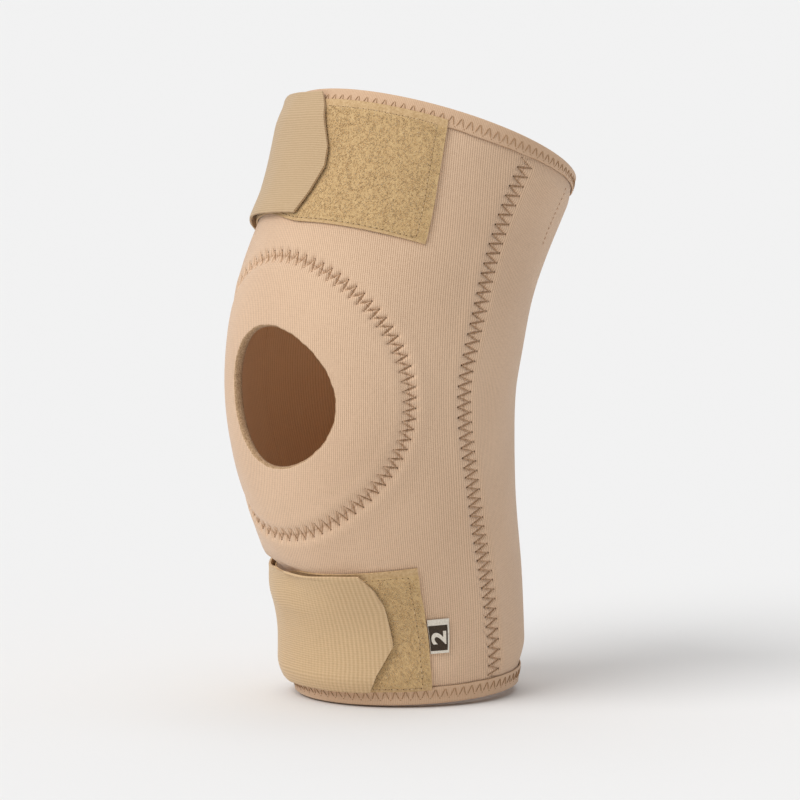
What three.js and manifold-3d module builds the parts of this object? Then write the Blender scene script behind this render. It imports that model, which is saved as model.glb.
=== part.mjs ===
// Knee sleeve of padded stretch laminate with an open kneecap hole and two elastic straps on loop patches.
// Millimetres, +Z up the leg. The origin is on the leg's axis, level with the middle of the kneecap, and the
// kneecap looks along -Y. The loop patches' free ends and the size label are on the +X side.
import * as THREE from "three";
import { mergeVertices } from "three/addons/utils/BufferGeometryUtils.js";
import Module from "manifold-3d";

const solids = await Module();
solids.setup();

// Leg form
const HEIGHT_ABOVE_KNEE = 105;
const HEIGHT_BELOW_KNEE = 133;
const THIGH_RADIUS = 65.4;
const KNEE_RADIUS = 63.1;
const CALF_RADIUS = 53.3;
const THIGH_SET_BACK = 41.2;
const CALF_SET_BACK = 22.7;
const DEPTH_TO_WIDTH = 1.04;
const THIGH_TUCK = 2;
const CALF_TUCK = 3.2;
const TUCK_REACH = 12;

// Sections from the calf edge up. A level counts from the knee, as a share of the height below or above it.
// A section's tilt is how far it leans back, and its seam is the turn of the side seam, both in degrees.
const SECTIONS = [
  { level: -1.0, radius: CALF_RADIUS, back: CALF_SET_BACK, tilt: -2.2, seam: 92 },
  { level: -0.68, radius: 0.994 * CALF_RADIUS, back: 0.87 * CALF_SET_BACK, tilt: -12, seam: 89 },
  { level: -0.34, radius: 0.934 * KNEE_RADIUS, back: 0.28 * CALF_SET_BACK, tilt: -11, seam: 86 },
  { level: 0.0, radius: KNEE_RADIUS, back: 0, tilt: 0, seam: 82.5 },
  { level: 0.34, radius: 1.014 * KNEE_RADIUS, back: 0.165 * THIGH_SET_BACK, tilt: 10.5, seam: 83.7 },
  { level: 0.68, radius: 0.954 * THIGH_RADIUS, back: 0.59 * THIGH_SET_BACK, tilt: 18.5, seam: 83 },
  { level: 1.0, radius: THIGH_RADIUS, back: THIGH_SET_BACK, tilt: 22.5, seam: 84 },
];

// Laminate and kneecap ring. The leg draws the ring's seam and the hole to three soft corners, a little aslant.
const WALL = 4;
const HOLE_RADIUS = 30.8;
const HOLE_CORNERS = 1;
const HOLE_LEAN = -0.6;
const RING_RADIUS = 61.9;
const RING_CORNERS = 2.3;
const RING_LEAN = 0.6;
const RING_PUFF = 1.1;
const RIM_ROUND = 1.2;

// Clearances between pieces that lie edge to edge and pieces that lie on each other
const SEAM_GAP = 0.3;
const LAYER_GAP = 0.4;

// Edge binding
const TAPE = 0.7;
const THIGH_BINDING_LEG = 8;
const CALF_BINDING_LEG = 7.6;

// Round the back of the thigh the binding's leg is shorter, from one turn over a run to its full taper
const BINDING_TAPER = 2.6;
const TAPER_TURN = 60;
const TAPER_RUN = 60;

// Loop patches: distances from the rim along the sleeve, and reach round it from the front's middle line
const PATCH_THICKNESS = 1.1;
const PATCH_HIDDEN_END = 55;
const UPPER_PATCH_NEAR = 5.1;
const UPPER_PATCH_FAR = 61.3;
const UPPER_PATCH_REACH = 58.4;
const UPPER_PATCH_DROP = -1;
const LOWER_PATCH_NEAR = 6.9;
const LOWER_PATCH_FAR = 61;
const LOWER_PATCH_REACH = 52.6;
const LOWER_PATCH_DROP = 2.6;
const STEP_CLEAR = 1;
const STEP_RUN = 3;

// A patch's free end: its reach at shares of its width, counted from the edge beside the rim
const UPPER_PATCH_END = [
  { share: 0, reach: 0.91 },
  { share: 0.5, reach: 0.945 },
  { share: 1, reach: 1 },
];
const LOWER_PATCH_END = [
  { share: 0, reach: 0.975 },
  { share: 0.25, reach: 0.943 },
  { share: 0.53, reach: 0.932 },
  { share: 0.78, reach: 0.953 },
  { share: 1, reach: 1 },
];

// Elastic straps
const STRAP_THICKNESS = 1.1;
const STRAP_HIDDEN_END = 78;
const STRAP_RAMP = 12;
const UPPER_STRAP_NEAR = 1.4;
const UPPER_STRAP_WIDTH = 57;
const UPPER_STRAP_REACH = 5.6;
const UPPER_STRAP_FLARE = 1;
const UPPER_STRAP_RISE = 1.3;
const FLARE_SHARE = 0.25;
const FLARE_TURN = 12;
const FLARE_RUN = 34;
const LOWER_STRAP_NEAR = 7.6;
const LOWER_STRAP_WIDTH = 54.6;
const LOWER_STRAP_REACH = 34.6;

// A strap's cut tip: how far short of its reach it stops, as a share of its width, at shares of its width
// counted from the edge beside the rim
const UPPER_STRAP_TIP = [
  { share: 0, short: 0.23 },
  { share: 0.13, short: 0.165 },
  { share: 0.28, short: 0.1 },
  { share: 0.45, short: 0.02 },
  { share: 0.6, short: 0 },
  { share: 0.69, short: 0.03 },
  { share: 0.84, short: 0.08 },
  { share: 1, short: 0.155 },
];
const LOWER_STRAP_TIP = [
  { share: 0, short: 0.197 },
  { share: 0.11, short: 0.12 },
  { share: 0.22, short: 0.057 },
  { share: 0.365, short: 0.004 },
  { share: 0.54, short: 0 },
  { share: 0.72, short: 0 },
  { share: 0.865, short: 0.042 },
  { share: 1, short: 0.124 },
];

// Fastener under a strap's tip
const HOOK_THICKNESS = 0.5;
const HOOK_LENGTH = 32;
const HOOK_INSET = 3;
const HOOK_EDGE_SHARE = 0.2;

// Size label beside the lower patch
const LABEL_NEAR = 22.8;
const LABEL_HEIGHT = 15.2;
const LABEL_LENGTH = 9.6;
const LABEL_THICKNESS = 0.6;

// Fineness of the meshes
const MIDDLE_ROWS = 18;
const FRONT_COLUMNS = 20;
const BACK_COLUMNS = 22;
const RING_COLUMNS = 60;
const RING_STEPS = 5;
const PATCH_COLUMNS = 13;
const PATCH_ROWS = 6;
const STRAP_COLUMNS = 16;
const HOOK_COLUMNS = 4;
const LABEL_STEPS = 2;
const LEVEL_STEP = 0.01;

const THIGH_EDGE = 1;
const CALF_EDGE = -1;
const radians = THREE.MathUtils.degToRad;
const { clamp, lerp, smoothstep } = THREE.MathUtils;

// Slope of a column of a table at one of its rows, from the rows on either side of it.
function slopeAt(table, row, key, column) {
  const before = table[Math.max(row - 1, 0)];
  const after = table[Math.min(row + 1, table.length - 1)];
  return (after[column] - before[column]) / (after[key] - before[key]);
}

// Value of a table's column at a key between its rows, on a smooth cubic through them.
function smoothColumn(table, key, column, at) {
  let row = 0;
  while (row < table.length - 2 && at > table[row + 1][key]) row += 1;
  const low = table[row];
  const high = table[row + 1];
  const span = high[key] - low[key];
  const t = (at - low[key]) / span;
  const rise = t * t * (3 - 2 * t);
  const leave = t * (1 - t) * (1 - t) * slopeAt(table, row, key, column);
  const arrive = t * t * (t - 1) * slopeAt(table, row + 1, key, column);
  return lerp(low[column], high[column], rise) + span * (leave + arrive);
}

// Value of a table's column at a share between its rows, on straight lines through them.
function straightColumn(table, column, share) {
  let row = 0;
  while (row < table.length - 2 && share > table[row + 1].share) row += 1;
  const low = table[row];
  const high = table[row + 1];
  return lerp(low[column], high[column], (share - low.share) / (high.share - low.share));
}

// How far the bindings draw the wall in, near the two edges.
function tuckAt(level) {
  const toThigh = (1 - level) * HEIGHT_ABOVE_KNEE;
  const toCalf = (level + 1) * HEIGHT_BELOW_KNEE;
  const thigh = THIGH_TUCK * (1 - smoothstep(toThigh, 0, TUCK_REACH));
  const calf = CALF_TUCK * (1 - smoothstep(toCalf, 0, TUCK_REACH));
  return thigh + calf;
}

function radiusAt(level) {
  return smoothColumn(SECTIONS, "level", "radius", level);
}

function seamTurn(level) {
  return radians(smoothColumn(SECTIONS, "level", "seam", level));
}

// Middle of the section at a level, as its place behind the knee and its height.
function heightAt(level) {
  return level * (level < 0 ? HEIGHT_BELOW_KNEE : HEIGHT_ABOVE_KNEE);
}

// Point of the sleeve's outer face. A turn of 0 is the front's middle line, and turns grow towards +X.
function skinPoint(turn, level) {
  const radius = radiusAt(level) - tuckAt(level);
  const tilt = radians(smoothColumn(SECTIONS, "level", "tilt", level));
  const back = smoothColumn(SECTIONS, "level", "back", level);
  const forward = radius * Math.sqrt(DEPTH_TO_WIDTH) * Math.cos(turn);
  return new THREE.Vector3(
    (radius / Math.sqrt(DEPTH_TO_WIDTH)) * Math.sin(turn),
    back - forward * Math.cos(tilt),
    heightAt(level) + forward * Math.sin(tilt),
  );
}

// Point at a lift above the outer face, square to it. A negative lift goes into the wall.
function liftedPoint(turn, level, lift) {
  const reach = 1e-3;
  const round = skinPoint(turn + reach, level).sub(skinPoint(turn - reach, level));
  const along = skinPoint(turn, level + reach).sub(skinPoint(turn, level - reach));
  const normal = round.cross(along).normalize();
  return skinPoint(turn, level).addScaledVector(normal, lift);
}

// Level that lies a distance along the sleeve from one of its edges, on the line of one turn.
function levelFromEdge(edge, turn, distance) {
  let level = edge;
  let gone = 0;
  while (gone < distance) {
    const step = skinPoint(turn, level).distanceTo(skinPoint(turn, level - edge * LEVEL_STEP));
    const share = clamp((distance - gone) / step, 0, 1);
    level -= edge * LEVEL_STEP * share;
    gone += step;
  }
  return level;
}

// Point a distance in from an edge, or past it where the distance is negative.
function edgePoint(edge, turn, distance, lift) {
  if (distance >= 0) return liftedPoint(turn, levelFromEdge(edge, turn, distance), lift);
  const rim = liftedPoint(turn, edge, lift);
  const outward = rim.clone().sub(liftedPoint(turn, edge - edge * LEVEL_STEP, lift)).normalize();
  return rim.addScaledVector(outward, -distance);
}

// Point of a piece on the sleeve, by its distance from an edge and its reach round the sleeve.
function bandPoint(edge, distance, reach, lift) {
  let turn = 0;
  let level = edge;
  for (let pass = 0; pass < 3; pass++) {
    level = levelFromEdge(edge, turn, distance);
    turn = reach / radiusAt(level);
  }
  return liftedPoint(turn, level, lift);
}

// Stops on the front's middle line with their heights along the sleeve, counted from the calf edge.
const frontLine = [];
for (let level = CALF_EDGE; level < THIGH_EDGE + LEVEL_STEP / 2; level += LEVEL_STEP) {
  const here = skinPoint(0, level);
  const last = frontLine.at(-1);
  frontLine.push({ level, here, height: last ? last.height + here.distanceTo(last.here) : 0 });
}
const kneeHeight = frontLine.find((stop) => stop.level > -LEVEL_STEP / 2).height;

// Level at a height above the kneecap's middle, measured along the front's middle line.
function levelAtHeight(height) {
  const sought = height + kneeHeight;
  const above = frontLine.findIndex((stop) => stop.height >= sought);
  const high = frontLine[above];
  const low = frontLine[above - 1];
  return lerp(low.level, high.level, (sought - low.height) / (high.height - low.height));
}

// Point on the front by its place on the flattened panel, across and up from the kneecap's middle.
function frontPoint(across, up, lift) {
  const level = levelAtHeight(up);
  return liftedPoint(across / radiusAt(level), level, lift);
}

// Skins a row of closed loops of points. A round row joins its last loop to its first. An open row gets a
// cap at each end, made of strips between the two halves of the loop.
function skinLoops(loops, round) {
  const size = loops[0].length;
  const corners = [];
  const quad = (a, b, c, d) => corners.push(a, b, c, a, c, d);
  const spans = round ? loops.length : loops.length - 1;
  for (let i = 0; i < spans; i++) {
    const here = i * size;
    const next = ((i + 1) % loops.length) * size;
    for (let k = 0; k < size; k++) {
      const other = (k + 1) % size;
      quad(here + k, here + other, next + other, next + k);
    }
  }
  if (!round) {
    const last = (loops.length - 1) * size;
    for (let k = 0; k + 1 < size / 2; k++) {
      quad(k + 1, k, size - 1 - k, size - 2 - k);
      quad(last + k, last + k + 1, last + size - 2 - k, last + size - 1 - k);
    }
  }
  const geometry = new THREE.BufferGeometry();
  geometry.setAttribute(
    "position",
    new THREE.Float32BufferAttribute(loops.flat().flatMap((point) => point.toArray()), 3),
  );
  geometry.setIndex(corners);
  geometry.computeVertexNormals();
  return geometry;
}

// Sheet between an over face and an under face: pointAt(column, row, lift) places a corner of its grid.
function sheet(columns, rows, over, under, pointAt) {
  const loops = [];
  for (let column = 0; column <= columns; column++) {
    const loop = [];
    for (let row = 0; row <= rows; row++) loop.push(pointAt(column, row, over));
    for (let row = rows; row >= 0; row--) loop.push(pointAt(column, row, under));
    loops.push(loop);
  }
  return loops;
}

// Levels of a panel's grid lines on one turn, from the thigh edge down: lines under the bindings and where
// the tucks begin, and even ones between.
function rowLevels(turn) {
  const tuckLine = TUCK_REACH + STEP_RUN;
  const top = [0, THIGH_BINDING_LEG, tuckLine].map((distance) => levelFromEdge(THIGH_EDGE, turn, distance));
  const bottom = [tuckLine, CALF_BINDING_LEG, 0].map((distance) => levelFromEdge(CALF_EDGE, turn, distance));
  const middle = [];
  for (let row = 1; row < MIDDLE_ROWS; row++) middle.push(lerp(top[2], bottom[0], row / MIDDLE_ROWS));
  return [...top, ...middle, ...bottom];
}

// Half of the sleeve between the side seams, on turns between a share of the seam's turn and another.
function panelLoops(columns, turnAt) {
  const rows = rowLevels(0).length - 1;
  const levels = [];
  for (let column = 0; column <= columns; column++) levels.push(rowLevels(turnAt(column / columns, 0)));
  return sheet(columns, rows, 0, -WALL, (column, row, lift) => {
    const level = levels[column][row];
    return liftedPoint(turnAt(column / columns, level), level, lift);
  });
}

// Turn of a side seam's cut edge, half a gap away from the seam itself.
function cutEdge(level, side) {
  return seamTurn(level) + (side * SEAM_GAP) / 2 / radiusAt(level);
}

function backPanel() {
  const turnAt = (share, level) => {
    const start = cutEdge(level, 1);
    return lerp(start, 2 * Math.PI - start, share);
  };
  return skinLoops(panelLoops(BACK_COLUMNS, turnAt), false);
}

// Radius of the kneecap ring's seam at an angle on the flattened front, and of the hole.
function ringRadius(angle) {
  return RING_RADIUS + RING_CORNERS * Math.cos(3 * angle) + RING_LEAN * Math.sin(2 * angle);
}

function holeRadius(angle) {
  return HOLE_RADIUS + HOLE_CORNERS * Math.cos(3 * angle) + HOLE_LEAN * Math.sin(2 * angle);
}

// Loops of a ring round the kneecap, each through the radii and lifts that its angle gives.
function kneecapLoops(profileAt) {
  const loops = [];
  for (let column = 0; column < RING_COLUMNS; column++) {
    const angle = (2 * Math.PI * column) / RING_COLUMNS;
    const place = ({ radius, lift }) => frontPoint(radius * Math.cos(angle), radius * Math.sin(angle), lift);
    loops.push(profileAt(angle).map(place));
  }
  return loops;
}

// Solid for cutting and joining, from a closed geometry.
function toSolid(geometry) {
  const bare = geometry.clone();
  bare.deleteAttribute("normal");
  const merged = mergeVertices(bare);
  const vertProperties = merged.getAttribute("position").array;
  const triVerts = new Uint32Array(merged.index.array);
  return new solids.Manifold(new solids.Mesh({ numProp: 3, vertProperties, triVerts }));
}

function toGeometry(solid) {
  const { numProp, vertProperties, triVerts } = solid.getMesh();
  const geometry = new THREE.BufferGeometry();
  geometry.setAttribute("position", new THREE.BufferAttribute(vertProperties, numProp));
  geometry.setIndex(new THREE.BufferAttribute(triVerts, 1));
  geometry.computeVertexNormals();
  return geometry;
}

// Front half of the sleeve, with the rounded hole that takes the kneecap ring.
function frontPanel() {
  const turnAt = (share, level) => lerp(-cutEdge(level, -1), cutEdge(level, -1), share);
  const whole = skinLoops(panelLoops(FRONT_COLUMNS, turnAt), false);
  const outline = (lift) => kneecapLoops((angle) => [{ radius: ringRadius(angle) + SEAM_GAP, lift }]).flat();
  const over = outline(RING_RADIUS);
  const under = outline(-2 * WALL);
  const plug = skinLoops([under, over], false);
  return toGeometry(toSolid(whole).subtract(toSolid(plug)));
}

// Profile of the kneecap ring at an angle: it swells between its seam and the hole, and its rim is rounded.
function ringProfile(angle) {
  const hole = holeRadius(angle);
  const outer = ringRadius(angle) - SEAM_GAP / 2;
  const profile = [{ radius: hole, lift: -RIM_ROUND }];
  for (let step = 0; step <= RING_STEPS; step++) {
    const share = step / RING_STEPS;
    const radius = lerp(hole + RIM_ROUND, outer, share);
    profile.push({ radius, lift: RING_PUFF * Math.sin(Math.PI * share) });
  }
  profile.push({ radius: outer, lift: -WALL });
  profile.push({ radius: (outer + hole) / 2, lift: -WALL });
  profile.push({ radius: hole + RIM_ROUND, lift: -WALL });
  profile.push({ radius: hole, lift: RIM_ROUND - WALL });
  return profile;
}

function patellaRing() {
  return skinLoops(kneecapLoops(ringProfile), true);
}

// Turns of the two panels' grid lines where they meet an edge, so that the binding's lines match them.
function edgeTurns(edge) {
  const seam = seamTurn(edge);
  const turns = [];
  for (let i = 0; i < FRONT_COLUMNS; i++) turns.push(lerp(-seam, seam, i / FRONT_COLUMNS));
  for (let i = 0; i < BACK_COLUMNS; i++) turns.push(lerp(seam, 2 * Math.PI - seam, i / BACK_COLUMNS));
  return turns;
}

// How much shorter a binding's leg is at a turn.
function legTaper(edge, turn) {
  if (edge === CALF_EDGE) return 0;
  const away = Math.abs(THREE.MathUtils.euclideanModulo(turn + Math.PI, 2 * Math.PI) - Math.PI);
  return BINDING_TAPER * smoothstep(away, radians(TAPER_TURN), radians(TAPER_TURN + TAPER_RUN));
}

// Tape folded over an edge of the sleeve, with a leg on its outer face and one on its inner face.
function binding(edge, leg) {
  const outside = SEAM_GAP + TAPE;
  const profile = [
    { distance: -SEAM_GAP - TAPE, lift: -WALL / 4 },
    { distance: -SEAM_GAP / 2, lift: outside },
    { distance: leg, lift: outside },
    { distance: leg, lift: SEAM_GAP },
    { distance: -SEAM_GAP, lift: SEAM_GAP },
    { distance: -SEAM_GAP, lift: -WALL - SEAM_GAP },
    { distance: leg, lift: -WALL - SEAM_GAP },
    { distance: leg, lift: -WALL - outside },
    { distance: -SEAM_GAP / 2, lift: -WALL - outside },
    { distance: -SEAM_GAP - TAPE, lift: (-3 * WALL) / 4 },
  ];
  if (edge === CALF_EDGE) profile.reverse();
  const loops = edgeTurns(edge).map((turn) => {
    const shorter = legTaper(edge, turn);
    return profile.map(({ distance, lift }) => {
      return edgePoint(edge, turn, distance === leg ? leg - shorter : distance, lift);
    });
  });
  return skinLoops(loops, true);
}

// Lift that a layer on the panel needs to pass over a binding's leg, at a distance from the rim.
function overBinding(distance, leg) {
  const passed = clamp((distance - leg - STEP_CLEAR) / STEP_RUN, 0, 1);
  return (2 * SEAM_GAP + TAPE - LAYER_GAP) * (1 - passed);
}

// Shares of a band's width, ordered so that its rows run down the leg.
function downwards(shares, edge) {
  return edge === THIGH_EDGE ? shares : [...shares].reverse();
}

// Loop patch: it laps over the binding's leg and steps down to the panel beyond it.
function loopPatch({ edge, leg, near, far, reach, drop, end }) {
  const steps = [near, leg + STEP_CLEAR, leg + STEP_CLEAR + STEP_RUN];
  for (let row = 1; row <= PATCH_ROWS; row++) steps.push(lerp(steps[2], far, row / PATCH_ROWS));
  const shares = downwards(steps.map((distance) => (distance - near) / (far - near)), edge);
  const hidden = -radians(PATCH_HIDDEN_END);
  const place = (column, row, lift) => {
    const share = shares[row];
    const across = column / PATCH_COLUMNS;
    const start = hidden * radiusAt(levelFromEdge(edge, hidden, lerp(near, far, share)));
    const arc = lerp(start, reach * straightColumn(end, "reach", share), across);
    const distance = lerp(near, far + drop * clamp(arc / reach, 0, 1), share);
    return bandPoint(edge, distance, arc, lift + overBinding(distance, leg));
  };
  return skinLoops(
    sheet(PATCH_COLUMNS, shares.length - 1, LAYER_GAP + PATCH_THICKNESS, LAYER_GAP, place),
    false,
  );
}

// Lift of a strap's under face where it lies on its patch, clear of the patch's stretch over the binding.
const STRAP_LIFT = 3 * SEAM_GAP + TAPE + PATCH_THICKNESS;

// Elastic strap: sewn to the panel at its hidden end, it climbs onto the patch and ends in a cut tip. Towards
// the hidden end it may rise to the rim and stand off at its far edge.
function strap({ edge, leg, near, width, reach, flare, rise, tip }) {
  const steps = [leg + STEP_CLEAR, leg + STEP_CLEAR + STEP_RUN].map((distance) => (distance - near) / width);
  const rest = tip.map(({ share }) => share).filter((share) => share > steps[1]);
  const shares = downwards([0, ...steps, ...rest], edge);
  const hidden = -radians(STRAP_HIDDEN_END);
  const rampEnd = -radians(PATCH_HIDDEN_END);
  const place = (column, row, lift) => {
    const share = shares[row];
    const distance = near + width * share;
    const radius = radiusAt(levelFromEdge(edge, hidden, distance));
    const tipArc = reach - width * straightColumn(tip, "short", share);
    const arc = lerp(hidden * radius, tipArc, column / STRAP_COLUMNS);
    const turn = arc / radius;
    const onPanel = clamp((rampEnd - turn) / radians(STRAP_RAMP), 0, 1);
    const towardsHidden = smoothstep(-turn, radians(FLARE_TURN), radians(FLARE_TURN + FLARE_RUN));
    const curl = smoothstep(share, 1 - FLARE_SHARE, 1) * towardsHidden * (1 - onPanel);
    const climb = lerp(STRAP_LIFT, LAYER_GAP + overBinding(distance, leg), onPanel);
    const raised = distance - rise * towardsHidden * (1 - share);
    return bandPoint(edge, raised, arc, lift + climb + flare * curl);
  };
  return skinLoops(sheet(STRAP_COLUMNS, shares.length - 1, STRAP_THICKNESS, 0, place), false);
}

// Fastener between a strap's tip and its patch.
function hookTab({ edge, near, width, reach, tip }) {
  const inner = tip.map(({ share }) => share).filter((share) => Math.abs(share - 0.5) < 0.5 - HOOK_EDGE_SHARE);
  const shares = downwards([HOOK_EDGE_SHARE, ...inner, 1 - HOOK_EDGE_SHARE], edge);
  const under = 2 * LAYER_GAP + PATCH_THICKNESS;
  return skinLoops(
    sheet(HOOK_COLUMNS, shares.length - 1, under + HOOK_THICKNESS, under, (column, row, lift) => {
      const share = shares[row];
      const end = reach - width * straightColumn(tip, "short", share) - HOOK_INSET;
      const arc = lerp(reach - HOOK_INSET - HOOK_LENGTH, end, column / HOOK_COLUMNS);
      return bandPoint(edge, near + width * share, arc, lift);
    }),
    false,
  );
}

// Folded tag that comes out from under the lower patch's free end.
function sizeLabel() {
  const width = LOWER_PATCH_FAR - LOWER_PATCH_NEAR;
  return skinLoops(
    sheet(LABEL_STEPS, LABEL_STEPS, LAYER_GAP + LABEL_THICKNESS, LAYER_GAP, (column, row, lift) => {
      const distance = LABEL_NEAR + LABEL_HEIGHT * (1 - row / LABEL_STEPS);
      const share = (distance - LOWER_PATCH_NEAR) / width;
      const start = LOWER_PATCH_REACH * straightColumn(LOWER_PATCH_END, "reach", share) + 2 * SEAM_GAP;
      return bandPoint(CALF_EDGE, distance, start + (LABEL_LENGTH * column) / LABEL_STEPS, lift);
    }),
    false,
  );
}

// Finishes
const finish = (color, roughness) => new THREE.MeshStandardMaterial({ color, roughness, metalness: 0 });
const knit = finish(0xd9b795, 0.9);
const tape = finish(0xd2ad88, 0.85);
const pile = finish(0xc3a06f, 1);
const elastic = finish(0xd3b385, 0.85);
const hooks = finish(0xcdb48c, 0.6);
const labelCloth = finish(0xeeeae2, 0.7);

const UPPER_STRAP = {
  edge: THIGH_EDGE,
  leg: THIGH_BINDING_LEG,
  near: UPPER_STRAP_NEAR,
  width: UPPER_STRAP_WIDTH,
  reach: UPPER_STRAP_REACH,
  flare: UPPER_STRAP_FLARE,
  rise: UPPER_STRAP_RISE,
  tip: UPPER_STRAP_TIP,
};
const LOWER_STRAP = {
  edge: CALF_EDGE,
  leg: CALF_BINDING_LEG,
  near: LOWER_STRAP_NEAR,
  width: LOWER_STRAP_WIDTH,
  reach: LOWER_STRAP_REACH,
  flare: 0,
  rise: 0,
  tip: LOWER_STRAP_TIP,
};
const UPPER_PATCH = {
  edge: THIGH_EDGE,
  leg: THIGH_BINDING_LEG,
  near: UPPER_PATCH_NEAR,
  far: UPPER_PATCH_FAR,
  reach: UPPER_PATCH_REACH,
  drop: UPPER_PATCH_DROP,
  end: UPPER_PATCH_END,
};
const LOWER_PATCH = {
  edge: CALF_EDGE,
  leg: CALF_BINDING_LEG,
  near: LOWER_PATCH_NEAR,
  far: LOWER_PATCH_FAR,
  reach: LOWER_PATCH_REACH,
  drop: LOWER_PATCH_DROP,
  end: LOWER_PATCH_END,
};

const sleeve = new THREE.Group();

function add(name, geometry, material) {
  const mesh = new THREE.Mesh(geometry, material);
  mesh.name = name;
  sleeve.add(mesh);
}

add("front_panel", frontPanel(), knit);
add("back_panel", backPanel(), knit);
add("patella_ring", patellaRing(), knit);
add("top_binding", binding(THIGH_EDGE, THIGH_BINDING_LEG), tape);
add("bottom_binding", binding(CALF_EDGE, CALF_BINDING_LEG), tape);
add("upper_loop_patch", loopPatch(UPPER_PATCH), pile);
add("lower_loop_patch", loopPatch(LOWER_PATCH), pile);
add("upper_strap", strap(UPPER_STRAP), elastic);
add("lower_strap", strap(LOWER_STRAP), elastic);
add("upper_hook_tab", hookTab(UPPER_STRAP), hooks);
add("lower_hook_tab", hookTab(LOWER_STRAP), hooks);
add("size_label", sizeLabel(), labelCloth);

export default sleeve;
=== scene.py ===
import math
from types import SimpleNamespace

import bpy
import numpy as np
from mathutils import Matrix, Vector


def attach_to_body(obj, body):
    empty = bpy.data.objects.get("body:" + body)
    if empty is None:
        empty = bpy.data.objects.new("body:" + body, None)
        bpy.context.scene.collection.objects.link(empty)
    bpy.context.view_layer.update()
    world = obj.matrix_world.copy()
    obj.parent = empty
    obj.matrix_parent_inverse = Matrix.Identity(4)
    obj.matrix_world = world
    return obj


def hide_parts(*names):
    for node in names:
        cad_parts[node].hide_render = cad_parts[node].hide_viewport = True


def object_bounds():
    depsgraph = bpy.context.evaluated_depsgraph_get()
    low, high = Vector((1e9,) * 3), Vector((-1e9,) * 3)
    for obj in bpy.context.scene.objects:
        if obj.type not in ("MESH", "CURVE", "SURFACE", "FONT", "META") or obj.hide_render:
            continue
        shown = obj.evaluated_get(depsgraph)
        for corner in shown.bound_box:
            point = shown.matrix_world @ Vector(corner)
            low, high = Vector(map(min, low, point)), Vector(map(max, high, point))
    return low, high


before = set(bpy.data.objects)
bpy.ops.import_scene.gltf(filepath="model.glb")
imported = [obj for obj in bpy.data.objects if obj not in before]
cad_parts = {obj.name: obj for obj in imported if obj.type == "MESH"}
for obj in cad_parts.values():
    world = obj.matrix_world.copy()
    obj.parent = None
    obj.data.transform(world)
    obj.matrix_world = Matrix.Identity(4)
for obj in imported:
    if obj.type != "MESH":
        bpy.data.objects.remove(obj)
cad_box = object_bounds()
MM = 0.001

# Leg form
HEIGHT_ABOVE_KNEE = 105
HEIGHT_BELOW_KNEE = 133
THIGH_RADIUS = 65.4
KNEE_RADIUS = 63.1
CALF_RADIUS = 53.3
THIGH_SET_BACK = 41.2
CALF_SET_BACK = 22.7
DEPTH_TO_WIDTH = 1.04
THIGH_TUCK = 2
CALF_TUCK = 4.7
THIGH_TUCK_REACH = 12
CALF_TUCK_REACH = 17

# Sections from the calf edge up: level, radius, set back, tilt and the side seam's turn, as in the solids
SECTION_COLUMNS = ("level", "radius", "back", "tilt", "seam")
SECTION_ROWS = [
    (-1.0, CALF_RADIUS, CALF_SET_BACK, -2.2, 92),
    (-0.68, 0.994 * CALF_RADIUS, 0.87 * CALF_SET_BACK, -12, 89),
    (-0.34, 0.934 * KNEE_RADIUS, 0.28 * CALF_SET_BACK, -11, 86),
    (0.0, KNEE_RADIUS, 0, 0, 82.5),
    (0.34, 1.014 * KNEE_RADIUS, 0.165 * THIGH_SET_BACK, 10.5, 83.7),
    (0.68, 0.954 * THIGH_RADIUS, 0.59 * THIGH_SET_BACK, 18.5, 83),
    (1.0, THIGH_RADIUS, THIGH_SET_BACK, 22.5, 84),
]
SECTIONS = dict(zip(SECTION_COLUMNS, np.array(SECTION_ROWS).T))

# Laminate, kneecap ring and the gaps between pieces
WALL = 4
HOLE_RADIUS = 30.8
RING_RADIUS = 61.9
RING_CORNERS = 2.3
RING_LEAN = 0.6
HOLE_CORNERS = 1
HOLE_LEAN = -0.6
RING_PUFF = 1.1
RIM_ROUND = 1.2
BUTT_GAP = 0.08
SEAM_GAP = 0.3
LAYER_GAP = 0.4

# Edge binding
TAPE = 0.7
THIGH_BINDING_LEG = 8
CALF_BINDING_LEG = 7.6
BINDING_TAPER = 2.6
TAPER_TURN = 60
TAPER_RUN = 60

# Loop patches and elastic straps
PATCH_THICKNESS = 1.1
PATCH_HIDDEN_END = 55
STEP_CLEAR = 1
STEP_RUN = 3
STRAP_THICKNESS = 1.1
STRAP_HIDDEN_END = 78
STRAP_RAMP = 12
STRAP_LIFT = 3 * SEAM_GAP + TAPE + PATCH_THICKNESS
FLARE_SHARE = 0.25
FLARE_TURN = 12
FLARE_RUN = 34

THIGH_EDGE = 1
CALF_EDGE = -1

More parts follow.
